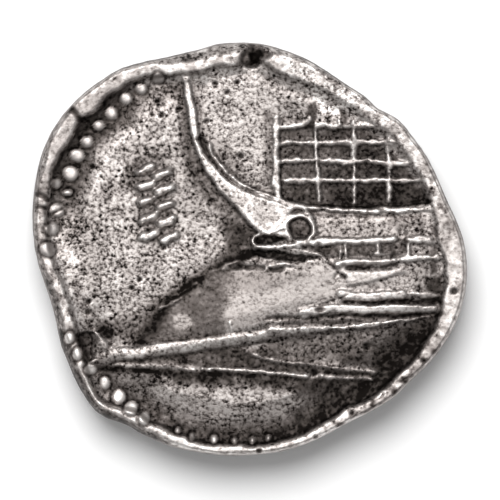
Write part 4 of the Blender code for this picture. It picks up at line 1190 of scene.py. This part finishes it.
# %% A node group for the state of the silver
TONES = (
    (0.0, (0.75, 0.715, 0.69)),
    (0.25, (0.42, 0.385, 0.367)),
    (0.45, (0.262, 0.235, 0.222)),
    (0.65, (0.13, 0.113, 0.106)),
    (0.85, (0.054, 0.0455, 0.041)),
    (1.0, (0.005, 0.0038, 0.0032)),
)
toned, given, result = new_group(
    "toned silver", {"Toning": 0.4, "Pits": 0.0, "Depth of pits": 0.25},
    {"Color": "NodeSocketColor", "Roughness": "NodeSocketFloat", "Metallic": "NodeSocketFloat"},
)
depth = maths(toned, "MULTIPLY_ADD", given.outputs["Pits"], given.outputs["Depth of pits"], given.outputs["Toning"])
ramp = node(toned, "ShaderNodeValToRGB", (("Fac", depth),))
while len(ramp.color_ramp.elements) < len(TONES):
    ramp.color_ramp.elements.new(0.5)
for element, (where, colour) in zip(ramp.color_ramp.elements, TONES):
    element.position, element.color = where, (*colour, 1.0)
toned.links.new(ramp.outputs["Color"], result.inputs["Color"])
toned.links.new(mapped(toned, depth, (0.0, 1.0), (0.47, 0.62)), result.inputs["Roughness"])
toned.links.new(mapped(toned, depth, (0.0, 1.0), (0.96, 0.92)), result.inputs["Metallic"])
print("group:", toned.name)

# %% [markdown]
# Three materials share the groups: the struck face, the hammered edge and the worn underside. Each sets its
# own size and depth of pits.

# %% The three silvers
BUMP_HEIGHT = 0.03 * MM


def silver(name, pits_per_metre, depth, bump):
    """Adds a material of toned silver to the coin."""
    material = bpy.data.materials.new(name)
    material.use_nodes = True
    tree = material.node_tree
    toning_mask, pitting_mask = (
        node(tree, "ShaderNodeAttribute", attribute_name=label).outputs["Fac"] for label in ("toning", "pitting")
    )
    pits = node(tree, "ShaderNodeGroup", (
        ("Pits per metre", pits_per_metre), ("Strength", pitting_mask),
    ), node_tree=pitting).outputs
    state = node(tree, "ShaderNodeGroup", (
        ("Toning", toning_mask), ("Pits", pits["Pits"]), ("Depth of pits", depth),
    ), node_tree=toned).outputs
    rough = node(tree, "ShaderNodeBump", (("Height", pits["Height"]), ("Strength", bump), ("Distance", BUMP_HEIGHT)))
    shader = tree.nodes["Principled BSDF"].inputs
    for label, source in (
        ("Base Color", state["Color"]), ("Roughness", state["Roughness"]), ("Metallic", state["Metallic"]),
        ("Normal", rough.outputs["Normal"]),
    ):
        tree.links.new(source, shader[label])
    shader["Specular IOR Level"].default_value = 0.2
    coin_mesh.materials.append(material)


silver("struck_face_silver", 4600.0, 0.30, 0.25)
silver("hammered_edge_silver", 2600.0, 0.20, 0.8)
silver("worn_underside_silver", 3600.0, 0.20, 0.6)
STRUCK, EDGE_METAL, UNDERSIDE = range(3)
side_count = len(side_quads) * len(around_loop)
kinds = np.repeat(
    (STRUCK, EDGE_METAL, UNDERSIDE, EDGE_METAL), (len(top_quads), side_count, len(under_quads), len(join)),
).astype(np.int32)
coin_mesh.polygons.foreach_set("material_index", kinds)
print("materials:", [m.name for m in coin_mesh.materials])

# %% [markdown]
# The coin needs a flat map for the baked copy of its finish. Seen from above, each side is already flat, and the
# edge is folded outwards round it like a skirt, so nothing overlaps: the struck side takes a large circle and
# the underside a small one.

# %% A map for baking
FOLD = 0.3
BIG_SCALE, BIG_MIDDLE = 0.0238, 0.365
SMALL_SCALE, SMALL_MIDDLE = 0.0128, 0.795
RINGS_ABOVE = 2
map_layer = coin_mesh.uv_layers.new(name="OFBake")
flat = points[:, :2].copy()
outwards = np.stack([np.cos(around_loop), np.sin(around_loop)], axis=1)
for i, first in enumerate(ring_at):
    flat[first:first + len(around_loop)] += FOLD * min(i + 1, len(rings) - i) * outwards
corner = np.empty(len(coin_mesh.loops), np.int32)
coin_mesh.loops.foreach_get("vertex_index", corner)
owner = np.repeat(np.arange(len(coin_mesh.polygons)), [p.loop_total for p in coin_mesh.polygons])
rank = (owner - len(top_quads)) // len(around_loop)
above = (kinds[owner] == STRUCK) | (owner >= len(faces) - len(join))
above |= (kinds[owner] == EDGE_METAL) & (rank < RINGS_ABOVE)
big, small = flat[corner] * BIG_SCALE + BIG_MIDDLE, flat[corner] * SMALL_SCALE + SMALL_MIDDLE
map_layer.data.foreach_set("uv", np.where(above[:, None], big, small).ravel().astype(np.float32))
for name, circle in (("struck side", big[above]), ("underside", small[~above])):
    print(name, "on the map from", np.round(circle.min(0), 3), "to", np.round(circle.max(0), 3))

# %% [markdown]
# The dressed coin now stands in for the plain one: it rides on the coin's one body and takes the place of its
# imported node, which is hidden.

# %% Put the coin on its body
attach(coin, "root")
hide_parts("coin")

# %% [markdown]
# ## Camera, light and floor
# The camera looks straight down from far away through a long lens, so that the coin's thickness hides nothing.
# The view is a little wider than the coin at the height of its face, and half a pixel off the middle, so that
# the coin's middle falls on the middle of a pixel.

# %% Camera
VIEW, VIEW_HEIGHT = 31.0, 3.4
HALF_PIXEL = VIEW / 500 / 2
camera_data = bpy.data.cameras.new("camera")
camera_data.lens, camera_data.sensor_width = 1000.0, 36.0
camera_data.clip_start, camera_data.clip_end = 0.01, 10.0
distance = VIEW * MM * camera_data.lens / camera_data.sensor_width
camera = add_object("camera", camera_data)
camera.location = (HALF_PIXEL * MM, -HALF_PIXEL * MM, VIEW_HEIGHT * MM + distance)
bpy.context.scene.camera = camera
print("camera", round(distance, 3), "m above the coin")

# %% [markdown]
# A broad soft light hangs above the coin, a little towards the top of the view, so the upper flanks of the relief
# catch it and the lower ones fall away.

# %% The soft light
lamp_data = bpy.data.lights.new("softbox", "AREA")
lamp_data.shape, lamp_data.size, lamp_data.energy = "DISK", 0.20, 1.05
lamp = add_object("softbox", lamp_data)
lamp.location = (-0.03, 0.13, 0.28)
lamp.rotation_mode = "QUATERNION"
lamp.rotation_quaternion = lamp.location.to_track_quat("Z", "Y")
lamp.visible_camera = False
print("light", round(lamp.location.length, 2), "m from the coin")

# %% [markdown]
# An even white sky fills the shadows, and the pale paper under the coin throws a little of it back at the edge.

# %% Sky and floor
SKY_STRENGTH = 0.40
FLOOR_HALF = 0.5
world = bpy.data.worlds.new("studio")
world.use_nodes = True
sky = world.node_tree.nodes["Background"].inputs
sky["Color"].default_value, sky["Strength"].default_value = (1.0, 1.0, 1.0, 1.0), SKY_STRENGTH
bpy.context.scene.world = world
bpy.context.scene.view_settings.view_transform = "Standard"
floor_mesh = bpy.data.meshes.new("floor")
square = [(x * FLOOR_HALF, y * FLOOR_HALF, 0) for x, y in ((-1, -1), (1, -1), (1, 1), (-1, 1))]
floor_mesh.from_pydata(square, [], [(0, 1, 2, 3)])
paper = bpy.data.materials.new("pale_paper")
paper.use_nodes = True
surface = paper.node_tree.nodes["Principled BSDF"].inputs
surface["Base Color"].default_value, surface["Roughness"].default_value = (0.92, 0.92, 0.92, 1.0), 0.9
floor_mesh.materials.append(paper)
floor = add_object("floor", floor_mesh)
print("floor", 2 * FLOOR_HALF, "m wide")
